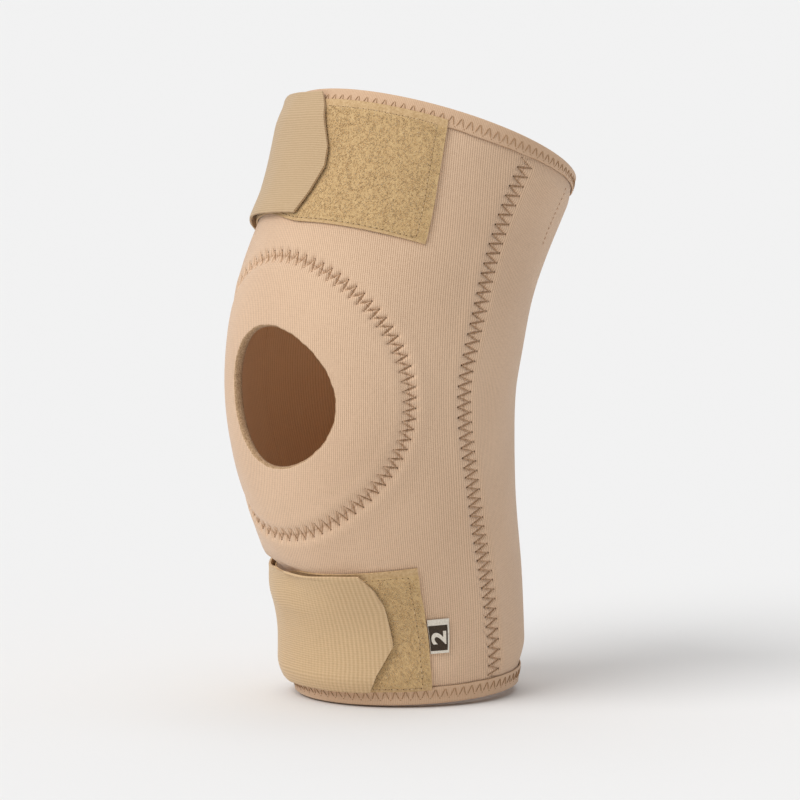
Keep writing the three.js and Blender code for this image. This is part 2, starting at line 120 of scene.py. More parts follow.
# A free end's table gives shares of the width, counted from the edge beside the rim, with a patch's reach
# as a share of its whole reach, or how far short of it a strap stops as a share of the strap's width.
UPPER_PATCH = SimpleNamespace(
    edge=THIGH_EDGE,
    leg=THIGH_BINDING_LEG,
    near=5.1,
    far=61.3,
    reach=58.4,
    drop=-1,
    borders=(3.6, 1.5),
    end=[(0, 0.91), (0.5, 0.945), (1, 1)],
)
LOWER_PATCH = SimpleNamespace(
    edge=CALF_EDGE,
    leg=CALF_BINDING_LEG,
    near=6.9,
    far=61,
    reach=52.6,
    drop=2.6,
    borders=(1.5, 3.6),
    end=[(0, 0.975), (0.25, 0.943), (0.53, 0.932), (0.78, 0.953), (1, 1)],
)
UPPER_STRAP = SimpleNamespace(
    edge=THIGH_EDGE,
    leg=THIGH_BINDING_LEG,
    near=1.9,
    width=56.5,
    reach=5.6,
    flare=0.6,
    rise=2.2,
    drop=1.6,
    stand=1.3,
    tip=[
        (0, 0.26),
        (0.13, 0.165),
        (0.28, 0.1),
        (0.45, 0.02),
        (0.6, 0),
        (0.69, 0.03),
        (0.84, 0.08),
        (1, 0.155),
    ],
)
LOWER_STRAP = SimpleNamespace(
    edge=CALF_EDGE,
    leg=CALF_BINDING_LEG,
    near=7.6,
    width=54.6,
    reach=34.6,
    flare=0,
    rise=0,
    drop=4,
    stand=0,
    tip=[(0, 0.197), (0.365, 0.003), (0.54, 0.014), (0.72, 0.012), (0.865, 0.045), (1, 0.124)],
)

# The calf strap's edge presses the sleeve in on the hidden side
SQUEEZE = 4.2
SQUEEZE_BELOW = 17
SQUEEZE_ABOVE = 4
SQUEEZE_RAISE = 5
SQUEEZE_TURNS = (-20, 15, 80, 115)

# Size label beside the lower patch
LABEL_NEAR = 22.8
LABEL_HEIGHT = 15.2
LABEL_LENGTH = 9.8
LABEL_TAPER = 0.15
LABEL_THICKNESS = 0.6
LABEL_PLY = 0.22

# Zigzag seams: a lean is the share of a pitch in which the thread crosses away from the seam's inner side
RING_STITCHES = 80
RING_ZIGZAG = SimpleNamespace(pitch=2 * math.pi * RING_RADIUS / RING_STITCHES, half=2.75, lean=0.34)
SIDE_ZIGZAG = SimpleNamespace(pitch=4.5, half=3.4, lean=0.4)
SUNK_LEG = 0.14
SEAM_SINK = 0.2
THREAD_SINK = 1.15
THREAD_FURROW = 0.72
BUTT_SINK = 0.2
BUTT_REACH = 0.45
SHOULDER = 1.3
SWELL = 0.35
SWELL_PLACE = 3.2
SWELL_REACH = 2.4

# Camera, found from the photograph's outline
CAMERA_AZIMUTH = 41.9
CAMERA_ELEVATION = 6.2
CAMERA_DISTANCE = 2210
CAMERA_ACROSS = 12.2
CAMERA_UP = -5.8
CAMERA_LENS = 228.1


# Leg surface

def smoothstep(value, low, high):
    t = np.clip((value - low) / (high - low), 0, 1)
    return t * t * (3 - 2 * t)


def lerp(low, high, share):
    return low + (high - low) * share


def smooth_column(column, level):
    """Value of a section column at a level, on a smooth cubic through the rows."""
    stops = SECTIONS["level"]
    values = SECTIONS[column]
    before = np.maximum(np.arange(len(stops)) - 1, 0)
    after = np.minimum(np.arange(len(stops)) + 1, len(stops) - 1)
    slopes = (values[after] - values[before]) / (stops[after] - stops[before])
    row = np.clip(np.searchsorted(stops, level) - 1, 0, len(stops) - 2)
    span = stops[row + 1] - stops[row]
    t = (level - stops[row]) / span
    leave = t * (1 - t) ** 2 * slopes[row]
    arrive = t * t * (t - 1) * slopes[row + 1]
    return lerp(values[row], values[row + 1], t * t * (3 - 2 * t)) + span * (leave + arrive)


def radius_at(level):
    return smooth_column("radius", level)


def seam_turn(level):
    return np.radians(smooth_column("seam", level))


def tuck(level):
    """How far the bindings draw the wall in, near the two edges."""
    thigh = THIGH_TUCK * (1 - smoothstep((1 - level) * HEIGHT_ABOVE_KNEE, 0, THIGH_TUCK_REACH))
    calf = CALF_TUCK * (1 - smoothstep((level + 1) * HEIGHT_BELOW_KNEE, 0, CALF_TUCK_REACH))
    return thigh + calf


def squeeze(turn, level):
    """How far the calf strap's edge presses the wall in."""
    away = -np.degrees((turn + math.pi) % (2 * math.pi) - math.pi)
    start, full, release, end = SQUEEZE_TURNS
    under_strap = smoothstep(away, start, full) * (1 - smoothstep(away, release, end))
    past = (level + 1) * HEIGHT_BELOW_KNEE - LOWER_STRAP.near - LOWER_STRAP.width - SQUEEZE_RAISE
    beside_edge = smoothstep(past, -SQUEEZE_BELOW, 0) * (1 - smoothstep(past, 0, SQUEEZE_ABOVE))
    return SQUEEZE * under_strap * beside_edge


def skin(turn, level):
    """Points of the sleeve's outer face."""
    radius = radius_at(level) - tuck(level) - squeeze(turn, level)
    tilt = np.radians(smooth_column("tilt", level))
    forward = radius * math.sqrt(DEPTH_TO_WIDTH) * np.cos(turn)
    height = level * np.where(level < 0, HEIGHT_BELOW_KNEE, HEIGHT_ABOVE_KNEE)
    across = radius / math.sqrt(DEPTH_TO_WIDTH) * np.sin(turn)
    back = smooth_column("back", level) - forward * np.cos(tilt)
    return np.stack([across, back, height + forward * np.sin(tilt)], axis=-1)


def skin_normal(turn, level):
    reach = 1e-3
    around = skin(turn + reach, level) - skin(turn - reach, level)
    along = skin(turn, level + reach) - skin(turn, level - reach)
    normal = np.cross(around, along)
    return normal / np.linalg.norm(normal, axis=-1, keepdims=True)


def lifted(turn, level, lift):
    """Points at a lift above the outer face, square to it."""
    turn, level, lift = np.broadcast_arrays(turn, level, lift)
    return skin(turn, level) + skin_normal(turn, level) * lift[..., None]


# Rulers along the sleeve. Levels are looked up by turn and by distance from an edge.
TURN_STOPS = np.radians(np.arange(0, 181))
DISTANCE_STEP = 0.5
DISTANCE_STOPS = np.arange(0, 72, DISTANCE_STEP)


def edge_ruler(edge):
    levels = np.linspace(edge, 0, 501)
    points = skin(TURN_STOPS[:, None], levels[None, :])
    steps = np.linalg.norm(np.diff(points, axis=1), axis=2)
    gone = np.cumsum(np.pad(steps, ((0, 0), (1, 0))), axis=1)
    return np.array([np.interp(DISTANCE_STOPS, row, levels) for row in gone])


EDGE_RULERS = {edge: edge_ruler(edge) for edge in (THIGH_EDGE, CALF_EDGE)}


def level_from_edge(edge, turn, distance):
    """Level at a distance in from an edge, on the line of one turn."""
    turn, distance = np.broadcast_arrays(turn, distance)
    folded = np.degrees(np.abs((turn + math.pi) % (2 * math.pi) - math.pi))
    place = np.clip(distance / DISTANCE_STEP, 0, len(DISTANCE_STOPS) - 1.001)
    i = np.minimum(folded.astype(int), len(TURN_STOPS) - 2)
    j = place.astype(int)
    table = EDGE_RULERS[edge]
    here = lerp(table[i, j], table[i, j + 1], place - j)
    beside = lerp(table[i + 1, j], table[i + 1, j + 1], place - j)
    return lerp(here, beside, folded - i)


def edge_point(edge, turn, distance, lift):
    """Points a distance in from an edge, or past it where the distance is negative."""
    turn, distance, lift = np.broadcast_arrays(turn, distance, lift)
    inside = lifted(turn, level_from_edge(edge, turn, distance), lift)
    rim_level = np.full(turn.shape, float(edge))
    rim = lifted(turn, rim_level, lift)
    outward = rim - lifted(turn, rim_level - edge * 0.01, lift)
    outward = outward / np.linalg.norm(outward, axis=-1, keepdims=True)
    past = rim - outward * distance[..., None]
    return np.where((distance >= 0)[..., None], inside, past)


def band_place(edge, distance, reach):
    """Turn and level of a place, by its distance from an edge and its reach round from the front."""
    distance, reach = np.broadcast_arrays(distance, reach)
    turn = np.zeros(reach.shape)
    for _ in range(3):
        level = level_from_edge(edge, turn, distance)
        turn = reach / radius_at(level)
    return turn, level


FRONT_LEVELS = np.linspace(-1, 1, 801)
FRONT_STEPS = np.linalg.norm(np.diff(skin(np.zeros(801), FRONT_LEVELS), axis=0), axis=1)
FRONT_HEIGHTS = np.cumsum(np.pad(FRONT_STEPS, (1, 0)))
FRONT_HEIGHTS = FRONT_HEIGHTS - np.interp(0, FRONT_LEVELS, FRONT_HEIGHTS)


def front_place(across, up):
    """Turn and level of a place on the flattened front, across and up from the kneecap's middle."""
    level = np.interp(up, FRONT_HEIGHTS, FRONT_LEVELS)
    return across / radius_at(level), level


def front_chart(turn, level):
    return turn * radius_at(level), np.interp(level, FRONT_LEVELS, FRONT_HEIGHTS)


def ring_radius(angle):
    """Radius of the kneecap seam on the flattened front. The leg draws it to three soft corners."""
    return RING_RADIUS + RING_CORNERS * np.cos(3 * angle) + RING_LEAN * np.sin(2 * angle)


def hole_radius(angle):
    return HOLE_RADIUS + HOLE_CORNERS * np.cos(3 * angle) + HOLE_LEAN * np.sin(2 * angle)


SEAM_POINTS = skin(seam_turn(FRONT_LEVELS), FRONT_LEVELS)
SEAM_LENGTHS = np.cumsum(np.pad(np.linalg.norm(np.diff(SEAM_POINTS, axis=0), axis=1), (1, 0)))


# Relief that the stitching gives the laminate

def thread_distance(off, along, zigzag):
    """Distance to the nearest thread of a zigzag seam, from places off it and along it."""
    within = np.clip(off, -zigzag.half, zigzag.half)
    share = (within + zigzag.half) / (2 * zigzag.half)
    nearest = np.full(np.shape(off), np.inf)
    for start, run in ((0, zigzag.lean), (1, zigzag.lean - 1)):
        gap = (along / zigzag.pitch - start - run * share + 0.5) % 1 - 0.5
        slope = 2 * zigzag.half / math.hypot(2 * zigzag.half, run * zigzag.pitch)
        nearest = np.minimum(nearest, np.abs(gap) * zigzag.pitch * slope)
    return np.hypot(nearest, off - within)


def seam_relief(off, along, zigzag):
    """A seam's hollow: it sinks along the threads and the butt joint, and swells beside them."""
    beyond = np.abs(off) - zigzag.half
    band = 1 - smoothstep(beyond, -0.4, SHOULDER)
    thread = np.exp(-((thread_distance(off, along, zigzag) / THREAD_FURROW) ** 2))
    butt = np.exp(-((off / BUTT_REACH) ** 2))
    swell = SWELL * np.exp(-(((beyond - SWELL_PLACE) / SWELL_REACH) ** 2))
    return swell - band * (SEAM_SINK + BUTT_SINK * butt) - THREAD_SINK * thread


def ring_place(turn, level):
    """Distance outside the ring's seam and length round it."""
    across, up = front_chart(turn, level)
    angle = np.arctan2(up, across)
    return np.hypot(across, up) - ring_radius(angle), angle * RING_RADIUS


def relief(turn, level):
    """Lift of the laminate's outer face from its seams and from lying slack over the leg."""
    turn, level = np.broadcast_arrays(turn, level)
    folded = np.abs((turn + math.pi) % (2 * math.pi) - math.pi)
    side_off = (folded - seam_turn(level)) * radius_at(level)
    side_along = np.interp(level, FRONT_LEVELS, SEAM_LENGTHS)
    total = seam_relief(side_off, side_along, SIDE_ZIGZAG)
    front = folded < seam_turn(level)
    ring_off, ring_along = ring_place(np.where(turn > math.pi, turn - 2 * math.pi, turn), level)
    total = total + np.where(front, seam_relief(ring_off, ring_along, RING_ZIGZAG), 0)
    thigh = level_from_edge(THIGH_EDGE, turn, THIGH_BINDING_LEG + 5)
    calf = level_from_edge(CALF_EDGE, turn, CALF_BINDING_LEG + 5)
    open_cloth = (1 - smoothstep(level, thigh, thigh + 0.06)) * smoothstep(level, calf - 0.06, calf)
    slack = 0.22 * np.sin(3 * folded + 9 * level) + 0.16 * np.sin(7 * folded - 13 * level + 1)
    return open_cloth * (total + slack) - (1 - open_cloth) * 0.1


def puckered(turn, level, lift=0.0):
    return lifted(turn, level, lift + relief(turn, level))


# Meshes

def zip_chains(first, second):
    """Triangles between two chains of corners that start and end side by side."""
    faces = []
    i = 0
    j = 0
    while i < len(first) - 1 or j < len(second) - 1:
        next_first = (i + 1) / (len(first) - 1) if i < len(first) - 1 else math.inf
        next_second = (j + 1) / (len(second) - 1) if j < len(second) - 1 else math.inf
        if next_first <= next_second:
            faces.append((first[i], first[i + 1], second[j]))
            i += 1
        else:
            faces.append((first[i], second[j + 1], second[j]))
            j += 1
    return faces


def signed_volume(points, faces):
    a, b, c = (points[faces[:, k]] for k in range(3))
    total = np.einsum("ij,ij->i", a, np.cross(b, c)).sum()
    if faces.shape[1] == 4:
        d = points[faces[:, 3]]
        total += np.einsum("ij,ij->i", a, np.cross(c, d)).sum()
    return total


def skin_mesh(name, loops, uv, finishes, over_count=None, finish_of=None, sharp=50):
    """Closed mesh over a row of closed loops of points. Without an over count the row closes on itself, and
    uv has one more column. Otherwise each end is capped between the loop's over and under chains.
    uv always has one more row, and finish_of gives each step of a loop its finish."""
    columns, size = loops.shape[:2]
    round_row = over_count is None
    spans = columns if round_row else columns - 1
    i, k = np.meshgrid(np.arange(spans), np.arange(size), indexing="ij")
    i, k = i.ravel(), k.ravel()
    other = (k + 1) % size
    ahead = (i + 1) % columns
    quads = np.stack([i * size + k, i * size + other, ahead * size + other, ahead * size + k], axis=1)
    quad_uv = np.stack([uv[i, k], uv[i, k + 1], uv[i + 1, k + 1], uv[i + 1, k]], axis=1)
    points = loops.reshape(-1, 3)
    caps = []
    if not round_row:
        for start in (0, (columns - 1) * size):
            over = [start + step for step in range(over_count)]
            under = [start + step for step in range(size - 1, over_count - 1, -1)]
            faces = zip_chains(over, under)
            caps += [face[::-1] for face in faces] if start == 0 else faces
    if signed_volume(points, quads) < 0:
        quads = quads[:, ::-1]
        quad_uv = quad_uv[:, ::-1]
        caps = [face[::-1] for face in caps]
    mesh = bpy.data.meshes.new(name)
    mesh.from_pydata((points * MM).tolist(), [], quads.tolist() + [list(face) for face in caps])
    vertex_uv = uv[:columns, :size].reshape(-1, 2)
    cap_uv = vertex_uv[np.array(caps, int).reshape(-1)] if caps else np.zeros((0, 2))
    layer = mesh.uv_layers.new(name="cloth")
    layer.data.foreach_set("uv", np.concatenate([quad_uv.reshape(-1, 2), cap_uv]).astype(np.float32).ravel())
    for finish in finishes:
        mesh.materials.append(finish)
    if finish_of is not None:
        slots = np.concatenate([np.asarray(finish_of)[k], np.full(len(caps), finish_of[0])])
        mesh.polygons.foreach_set("material_index", slots.astype(np.int32))
    mesh.shade_smooth()
    mesh.set_sharp_from_angle(angle=math.radians(sharp))
    mesh.validate()
    return place_piece(name, mesh)


def place_piece(name, mesh):
    piece = bpy.data.objects.new(name, mesh)
    bpy.context.scene.collection.objects.link(piece)
    return piece


def loops_of(over, under):
    """Closed loops from an over grid and an under grid whose rows run the same way."""
    return np.concatenate([over, under[:, ::-1]], axis=1)


def graded(reach, fine, growth=1.18):
    """Distances from 0 to a reach, in steps that start fine and grow."""
    steps = [fine]
    while sum(steps) < reach:
        steps.append(steps[-1] * growth)
    stops = np.cumsum([0] + steps)
    return stops * reach / stops[-1]


# Finishes

def srgb(red, green, blue):
    """Linear colour of an 8-bit one, with its alpha."""
    share = np.array([red, green, blue]) / 255
    linear = np.where(share <= 0.04045, share / 12.92, ((share + 0.055) / 1.055) ** 2.4)
    return (*linear.tolist(), 1.0)


def add_node(tree, kind, inputs=None, **settings):
    """Adds a node. Inputs are given by name or number, as values or as sockets to link from."""
    node = tree.nodes.new(kind)
    for key, value in settings.items():
        setattr(node, key, value)
    for key, value in (inputs or {}).items():
        if isinstance(value, bpy.types.NodeSocket):
            tree.links.new(value, node.inputs[key])
        else:
            node.inputs[key].default_value = value
    return node


def reckon(tree, operation, first, second=0.0, third=0.0):
    """Output of one Math node."""
    return add_node(tree, "ShaderNodeMath", {0: first, 1: second, 2: third}, operation=operation).outputs[0]


def blend_colours(tree, share, first, second):
    mix = add_node(tree, "ShaderNodeMix", data_type="RGBA")
    for socket, value in ((mix.inputs[0], share), (mix.inputs[6], first), (mix.inputs[7], second)):
        if isinstance(value, bpy.types.NodeSocket):
            tree.links.new(value, socket)
        else:
            socket.default_value = value
    return mix.outputs[2]


def noise(tree, vector, scale, detail=2.0, roughness=0.5):
    inputs = {"Vector": vector, "Scale": scale, "Detail": detail, "Roughness": roughness}
    return add_node(tree, "ShaderNodeTexNoise", inputs).outputs["Fac"]


def stretch_contrast(tree, value, low, high):
    inputs = {"Value": value, "From Min": low, "From Max": high}
    return add_node(tree, "ShaderNodeMapRange", inputs, clamp=True).outputs[0]


def new_finish(name, roughness, sheen, specular=0.25):
    """Material with its shader, cloth coordinates in millimetres and object coordinates."""
    finish = bpy.data.materials.new(name)
    finish.use_nodes = True
    tree = finish.node_tree
    shader = tree.nodes["Principled BSDF"]
    shader.inputs["Roughness"].default_value = roughness
    shader.inputs["Specular IOR Level"].default_value = specular
    shader.inputs["Sheen Weight"].default_value = sheen
    shader.inputs["Sheen Roughness"].default_value = 0.4
    cloth = add_node(tree, "ShaderNodeUVMap", uv_map="cloth").outputs[0]
    parts = add_node(tree, "ShaderNodeSeparateXYZ", {0: cloth})
    place = add_node(tree, "ShaderNodeTexCoord").outputs["Object"]
    board = SimpleNamespace(tree=tree, shader=shader, u=parts.outputs[0], v=parts.outputs[1], place=place)
    return finish, board


def finish_surface(board, colour, height, depth):
    """Links a finish's colour and its relief of a depth in millimetres."""
    tree = board.tree
    tree.links.new(colour, board.shader.inputs["Base Color"])
    bump = add_node(tree, "ShaderNodeBump", {"Strength": 1.0, "Distance": depth * MM, "Height": height})
    tree.links.new(bump.outputs[0], board.shader.inputs["Normal"])


def knit_height(board, wale, course):
    """Height of jersey: rounded wales, each with slanting loops along it that show as dots."""
    tree = board.tree
    across = reckon(tree, "DIVIDE", board.u, wale)
    centred = reckon(tree, "ABSOLUTE", reckon(tree, "SUBTRACT", reckon(tree, "FRACT", across), 0.5))
    ridge = reckon(tree, "COSINE", reckon(tree, "MULTIPLY", centred, math.pi))
    slant = reckon(tree, "MULTIPLY_ADD", centred, 0.9, reckon(tree, "DIVIDE", board.v, course))
    wave = reckon(tree, "SINE", reckon(tree, "MULTIPLY", slant, 2 * math.pi))
    loops = reckon(tree, "MULTIPLY_ADD", wave, 0.5, 0.5)
    rounded = reckon(tree, "POWER", ridge, 0.6)
    return reckon(tree, "MULTIPLY", rounded, reckon(tree, "MULTIPLY_ADD", loops, 0.22, 0.78))


def knit_finish(name, light, dark, wale, course, depth, roughness, sheen):
    """Jersey face: the grooves between the wales are painted darker, as shade, and dye and wear vary
    slightly.
    """
    finish, board = new_finish(name, roughness, sheen)
    tree = board.tree
    height = knit_height(board, wale, course)
    patches = noise(tree, board.place, 22.0, 3.0)
    fibres = noise(tree, board.place, 900.0, 2.0)
    shade = reckon(tree, "MULTIPLY_ADD", patches, 0.3, reckon(tree, "MULTIPLY", fibres, 0.3))
    # Colour follows the knit's height: painted shade in the grooves between the wales.
    share = reckon(tree, "ADD", reckon(tree, "MULTIPLY", height, 0.75), reckon(tree, "SUBTRACT", shade, 0.12))
    colour = blend_colours(tree, stretch_contrast(tree, share, 0.1, 0.9), dark, light)
    finish_surface(board, colour, reckon(tree, "MULTIPLY_ADD", fibres, 0.3, height), depth)
    return finish


def pile_finish(name, light, dark, roughness=1.0):
    """Ground of a loop patch: a mat of short curled yarn over staggered rows of loops."""
    finish, board = new_finish(name, roughness, 0.3)
    tree = board.tree
    specks = noise(tree, board.place, 1500.0, 3.0, 0.7)
    clumps = noise(tree, board.place, 350.0, 2.0)
    share = stretch_contrast(tree, reckon(tree, "MULTIPLY_ADD", clumps, 0.5, specks), 0.4, 1.0)
    colour = blend_colours(tree, share, dark, light)
    finish_surface(board, colour, share, 0.25)
    return finish


def elastic_finish(name, light, dark, rib, gather, gather_share):
    """Woven elastic: fine ribs along the length, and slight wavy gathers across them where it is relaxed. Its
    colour darkens with the relief, as painted shade in the rib grooves and gather troughs.
    """
    finish, board = new_finish(name, 0.85, 0.25)
    tree = board.tree
    wander = noise(tree, board.place, 45.0, 2.0)
    ribs = reckon(tree, "SINE", reckon(tree, "MULTIPLY", board.v, 2 * math.pi / rib))
    sway = reckon(tree, "MULTIPLY_ADD", wander, 2.6, board.u)
    gathers = reckon(tree, "SINE", reckon(tree, "MULTIPLY", sway, 2 * math.pi / gather))
    near_tip = stretch_contrast(tree, board.u, -22.0, 14.0)
    relaxed = reckon(tree, "MULTIPLY", gathers, reckon(tree, "MULTIPLY", near_tip, gather_share))
    fibres = noise(tree, board.place, 1100.0, 2.0)
    rib_share = reckon(tree, "MULTIPLY_ADD", near_tip, -0.8 * gather_share, 0.3)
    height = reckon(tree, "MULTIPLY_ADD", ribs, rib_share, relaxed)
    height = reckon(tree, "MULTIPLY_ADD", fibres, 0.45, height)
    # Colour follows the height: painted shade in the rib grooves and gather troughs.
    colour = blend_colours(tree, stretch_contrast(tree, height, -0.5, 0.85), dark, light)
    finish_surface(board, colour, height, 0.1)
    return finish


def plain_finish(name, light, dark, grain, depth, roughness=0.8, sheen=0.2):
    """Close-woven or spun finish with fine grain and no visible repeat."""
    finish, board = new_finish(name, roughness, sheen)
    tree = board.tree
    height = noise(tree, board.place, grain, 3.0, 0.6)
    colour = blend_colours(tree, stretch_contrast(tree, height, 0.3, 0.7), dark, light)
    finish_surface(board, colour, height, depth)
    return finish


LAMINATE = knit_finish("laminate_face", srgb(232, 199, 168), srgb(178, 143, 113), 1.06, 0.95, 0.14, 0.9, 0.3)
LINING = knit_finish("laminate_lining", srgb(232, 194, 154), srgb(204, 164, 124), 1.4, 1.1, 0.08, 0.95, 0.2)
FOAM = plain_finish("cut_foam_edge", srgb(214, 182, 146), srgb(150, 114, 80), 1600.0, 0.3, 1.0, 0.1)
BINDING = knit_finish("binding_tape", srgb(222, 188, 156), srgb(196, 158, 126), 0.8, 0.7, 0.08, 0.85, 0.3)
# Darker copy of the binding tape for its inner leg inside the sleeve: painted shade.
SHADED_TAPE = knit_finish("binding_inside", srgb(196, 158, 124), srgb(158, 122, 90), 0.8, 0.7, 0.08, 0.9, 0.2)
PILE_GROUND = pile_finish("loop_pile_ground", srgb(222, 190, 140), srgb(192, 156, 108))
SELVEDGE = plain_finish("patch_selvedge", srgb(216, 184, 140), srgb(186, 152, 108), 900.0, 0.16, 0.9, 0.2)
PILE_YARN = plain_finish("loop_pile_yarn", srgb(232, 204, 156), srgb(208, 174, 124), 700.0, 0.02, 0.8, 0.4)
ELASTIC = elastic_finish("elastic_strap", srgb(210, 182, 146), srgb(172, 143, 106), 1.05, 2.0, 0.0)
RELAXED_ELASTIC = elastic_finish("relaxed_elastic", srgb(222, 192, 152), srgb(178, 146, 106), 1.05, 1.9, 0.22)
THREAD = plain_finish("sewing_thread", srgb(186, 148, 110), srgb(150, 113, 78), 2200.0, 0.03, 0.8, 0.1)
TAN_THREAD = plain_finish("patch_thread", srgb(230, 206, 168), srgb(170, 134, 94), 420.0, 0.03, 0.6, 0.1)
# Lighter copy of the sewing thread for the sunk return legs of the zigzags: painted light.
LIT_RETURN_THREAD = plain_finish("sunk_thread", srgb(206, 170, 134), srgb(176, 140, 106), 2200.0, 0.03, 0.9, 0.1)
# Dark brown beads at needle holes: painted shade in the holes.
HOLE_SHADE = plain_finish("needle_hole", srgb(112, 80, 52), srgb(84, 58, 36), 900.0, 0.02, 1.0, 0.0)
HOOKS = plain_finish("hook_tab", srgb(205, 180, 140), srgb(150, 120, 80), 1300.0, 0.3, 0.5, 0.0)
LABEL_CLOTH = plain_finish("label_cloth", srgb(238, 230, 216), srgb(212, 202, 186), 1500.0, 0.05, 0.6, 0.2)
LABEL_INK = plain_finish("label_ink", srgb(74, 60, 46), srgb(52, 42, 32), 1500.0, 0.03, 0.7, 0.0)


# Panels

WALE_WAY = np.array([0.86, 0.5, 0])
WALE_TURNS = np.radians([-60, -5])
WALE_SHIFT = 27.7


def panel_ends(spans, fine_reach, middle_rows):
    """Shares of each column's span, fine at both ends, for columns of different lengths."""
    fine = graded(fine_reach, 0.22)
    near = fine[None, :] / spans[:, None]
    far = 1 - fine[None, ::-1] / spans[:, None]
    middle = lerp(near[:, -1:], far[:, :1], np.linspace(0, 1, middle_rows + 2)[None, 1:-1])
    return np.concatenate([near, middle, far], axis=1)


def cloth_uv(turn, level):
    """Cloth coordinates in millimetres. The front's wales run almost straight up, however the leg bends
    behind them. Round the hidden side and the back they follow the leg."""
    height = np.interp(level, FRONT_LEVELS, FRONT_HEIGHTS)
    straight = skin(turn, level) @ WALE_WAY + 12 * turn
    round_leg = KNEE_RADIUS * turn - WALE_SHIFT
    share = smoothstep(turn, *WALE_TURNS) * (turn < seam_turn(level))
    return np.stack([lerp(round_leg, straight, share), height], axis=-1)


def close_uv(uv, round_turns=None):
    """Adds the row, and for a round piece the column, that the last faces run to."""
    uv = np.concatenate([uv, uv[:, :1]], axis=1)
    if round_turns is None:
        return uv
    last = uv[:1] + np.array([round_turns, 0])
    return np.concatenate([uv, last], axis=0)


def wall_mesh(name, turn, level, under_columns, finishes, over_lift=0.0, over_count=None):
    """Laminate wall between its puckered face and its lining, on a grid of turns and levels."""
    over = puckered(turn, level, over_lift)
    picked = np.linspace(0, turn.shape[1] - 1, under_columns).round().astype(int)
    under_turn, under_level = turn[:, picked], level[:, picked]
    under = lifted(under_turn, under_level, -WALL)
    loops = loops_of(over, under)
    uv = np.concatenate([cloth_uv(turn, level), cloth_uv(under_turn, under_level)[:, ::-1]], axis=1)
    round_turns = 0 if over_count is None else None
    steps = np.ones(loops.shape[1], int)
    steps[: over.shape[1] - 1] = 0
    return skin_mesh(name, loops, close_uv(uv, round_turns), finishes, over_count, steps)


FRONT_SIDE_COLUMNS = 540
FRONT_EDGE_COLUMNS = 180


def front_panel():
    """Front half, gridded from the kneecap seam outwards to the side seams and the edges."""
    half_gap = BUTT_GAP / 2
    run = np.linspace(0, 1, FRONT_SIDE_COLUMNS, endpoint=False)
    side_level = lerp(-1, 1, run)
    side_turn = seam_turn(side_level) - half_gap / radius_at(side_level)
    edge_run = np.linspace(1, -1, FRONT_EDGE_COLUMNS, endpoint=False)
    top_turn = edge_run * (seam_turn(1.0) - half_gap / THIGH_RADIUS)
    bottom_turn = -edge_run * (seam_turn(-1.0) - half_gap / CALF_RADIUS)
    left_level = -side_level
    left_turn = -(seam_turn(left_level) - half_gap / radius_at(left_level))
    border_turn = np.concatenate([side_turn, top_turn, left_turn, bottom_turn])
    border_level = np.concatenate([side_level, np.ones(len(edge_run)), left_level, -np.ones(len(edge_run))])
    across, up = front_chart(np.array([seam_turn(-1.0), seam_turn(1.0)]), np.array([-1.0, 1.0]))
    low, high = np.arctan2(up, across)
    corners = [low, high, math.pi - high, math.pi - low, low + 2 * math.pi]
    counts = [FRONT_SIDE_COLUMNS, FRONT_EDGE_COLUMNS, FRONT_SIDE_COLUMNS, FRONT_EDGE_COLUMNS]
    angle = np.concatenate(
        [np.linspace(corners[i], corners[i + 1], counts[i], endpoint=False) for i in range(4)]
    )
    radius = ring_radius(angle) + half_gap
    ring_turn, ring_level = front_place(radius * np.cos(angle), radius * np.sin(angle))
    coarse = np.linspace(0, 1, 9)[None, :]
    coarse_turn = lerp(ring_turn[:, None], border_turn[:, None], coarse)
    coarse_level = lerp(ring_level[:, None], border_level[:, None], coarse)
    line = skin(coarse_turn, coarse_level)
    spans = np.linalg.norm(np.diff(line, axis=1), axis=2).sum(axis=1)
    shares = panel_ends(spans, 8, 16)
    turn = lerp(ring_turn[:, None], border_turn[:, None], shares)
    level = lerp(ring_level[:, None], border_level[:, None], shares)
    return wall_mesh("laminate_front", turn, level, 12, [LAMINATE, LINING])


BACK_ROWS = 540
BACK_COLUMNS = 60


def back_panel():
    """Back half, gridded in levels from edge to edge."""
    level = np.linspace(-1, 1, BACK_ROWS)
    start = seam_turn(level) + BUTT_GAP / 2 / radius_at(level)
    span = (2 * math.pi - 2 * start) * radius_at(level)
    shares = panel_ends(span, 8, BACK_COLUMNS)
    turn = lerp(start[:, None], 2 * math.pi - start[:, None], shares)
    level = np.repeat(level[:, None], turn.shape[1], axis=1)
    return wall_mesh("laminate_back", turn, level, 24, [LAMINATE, LINING], over_count=turn.shape[1])


RING_COLUMNS = 960


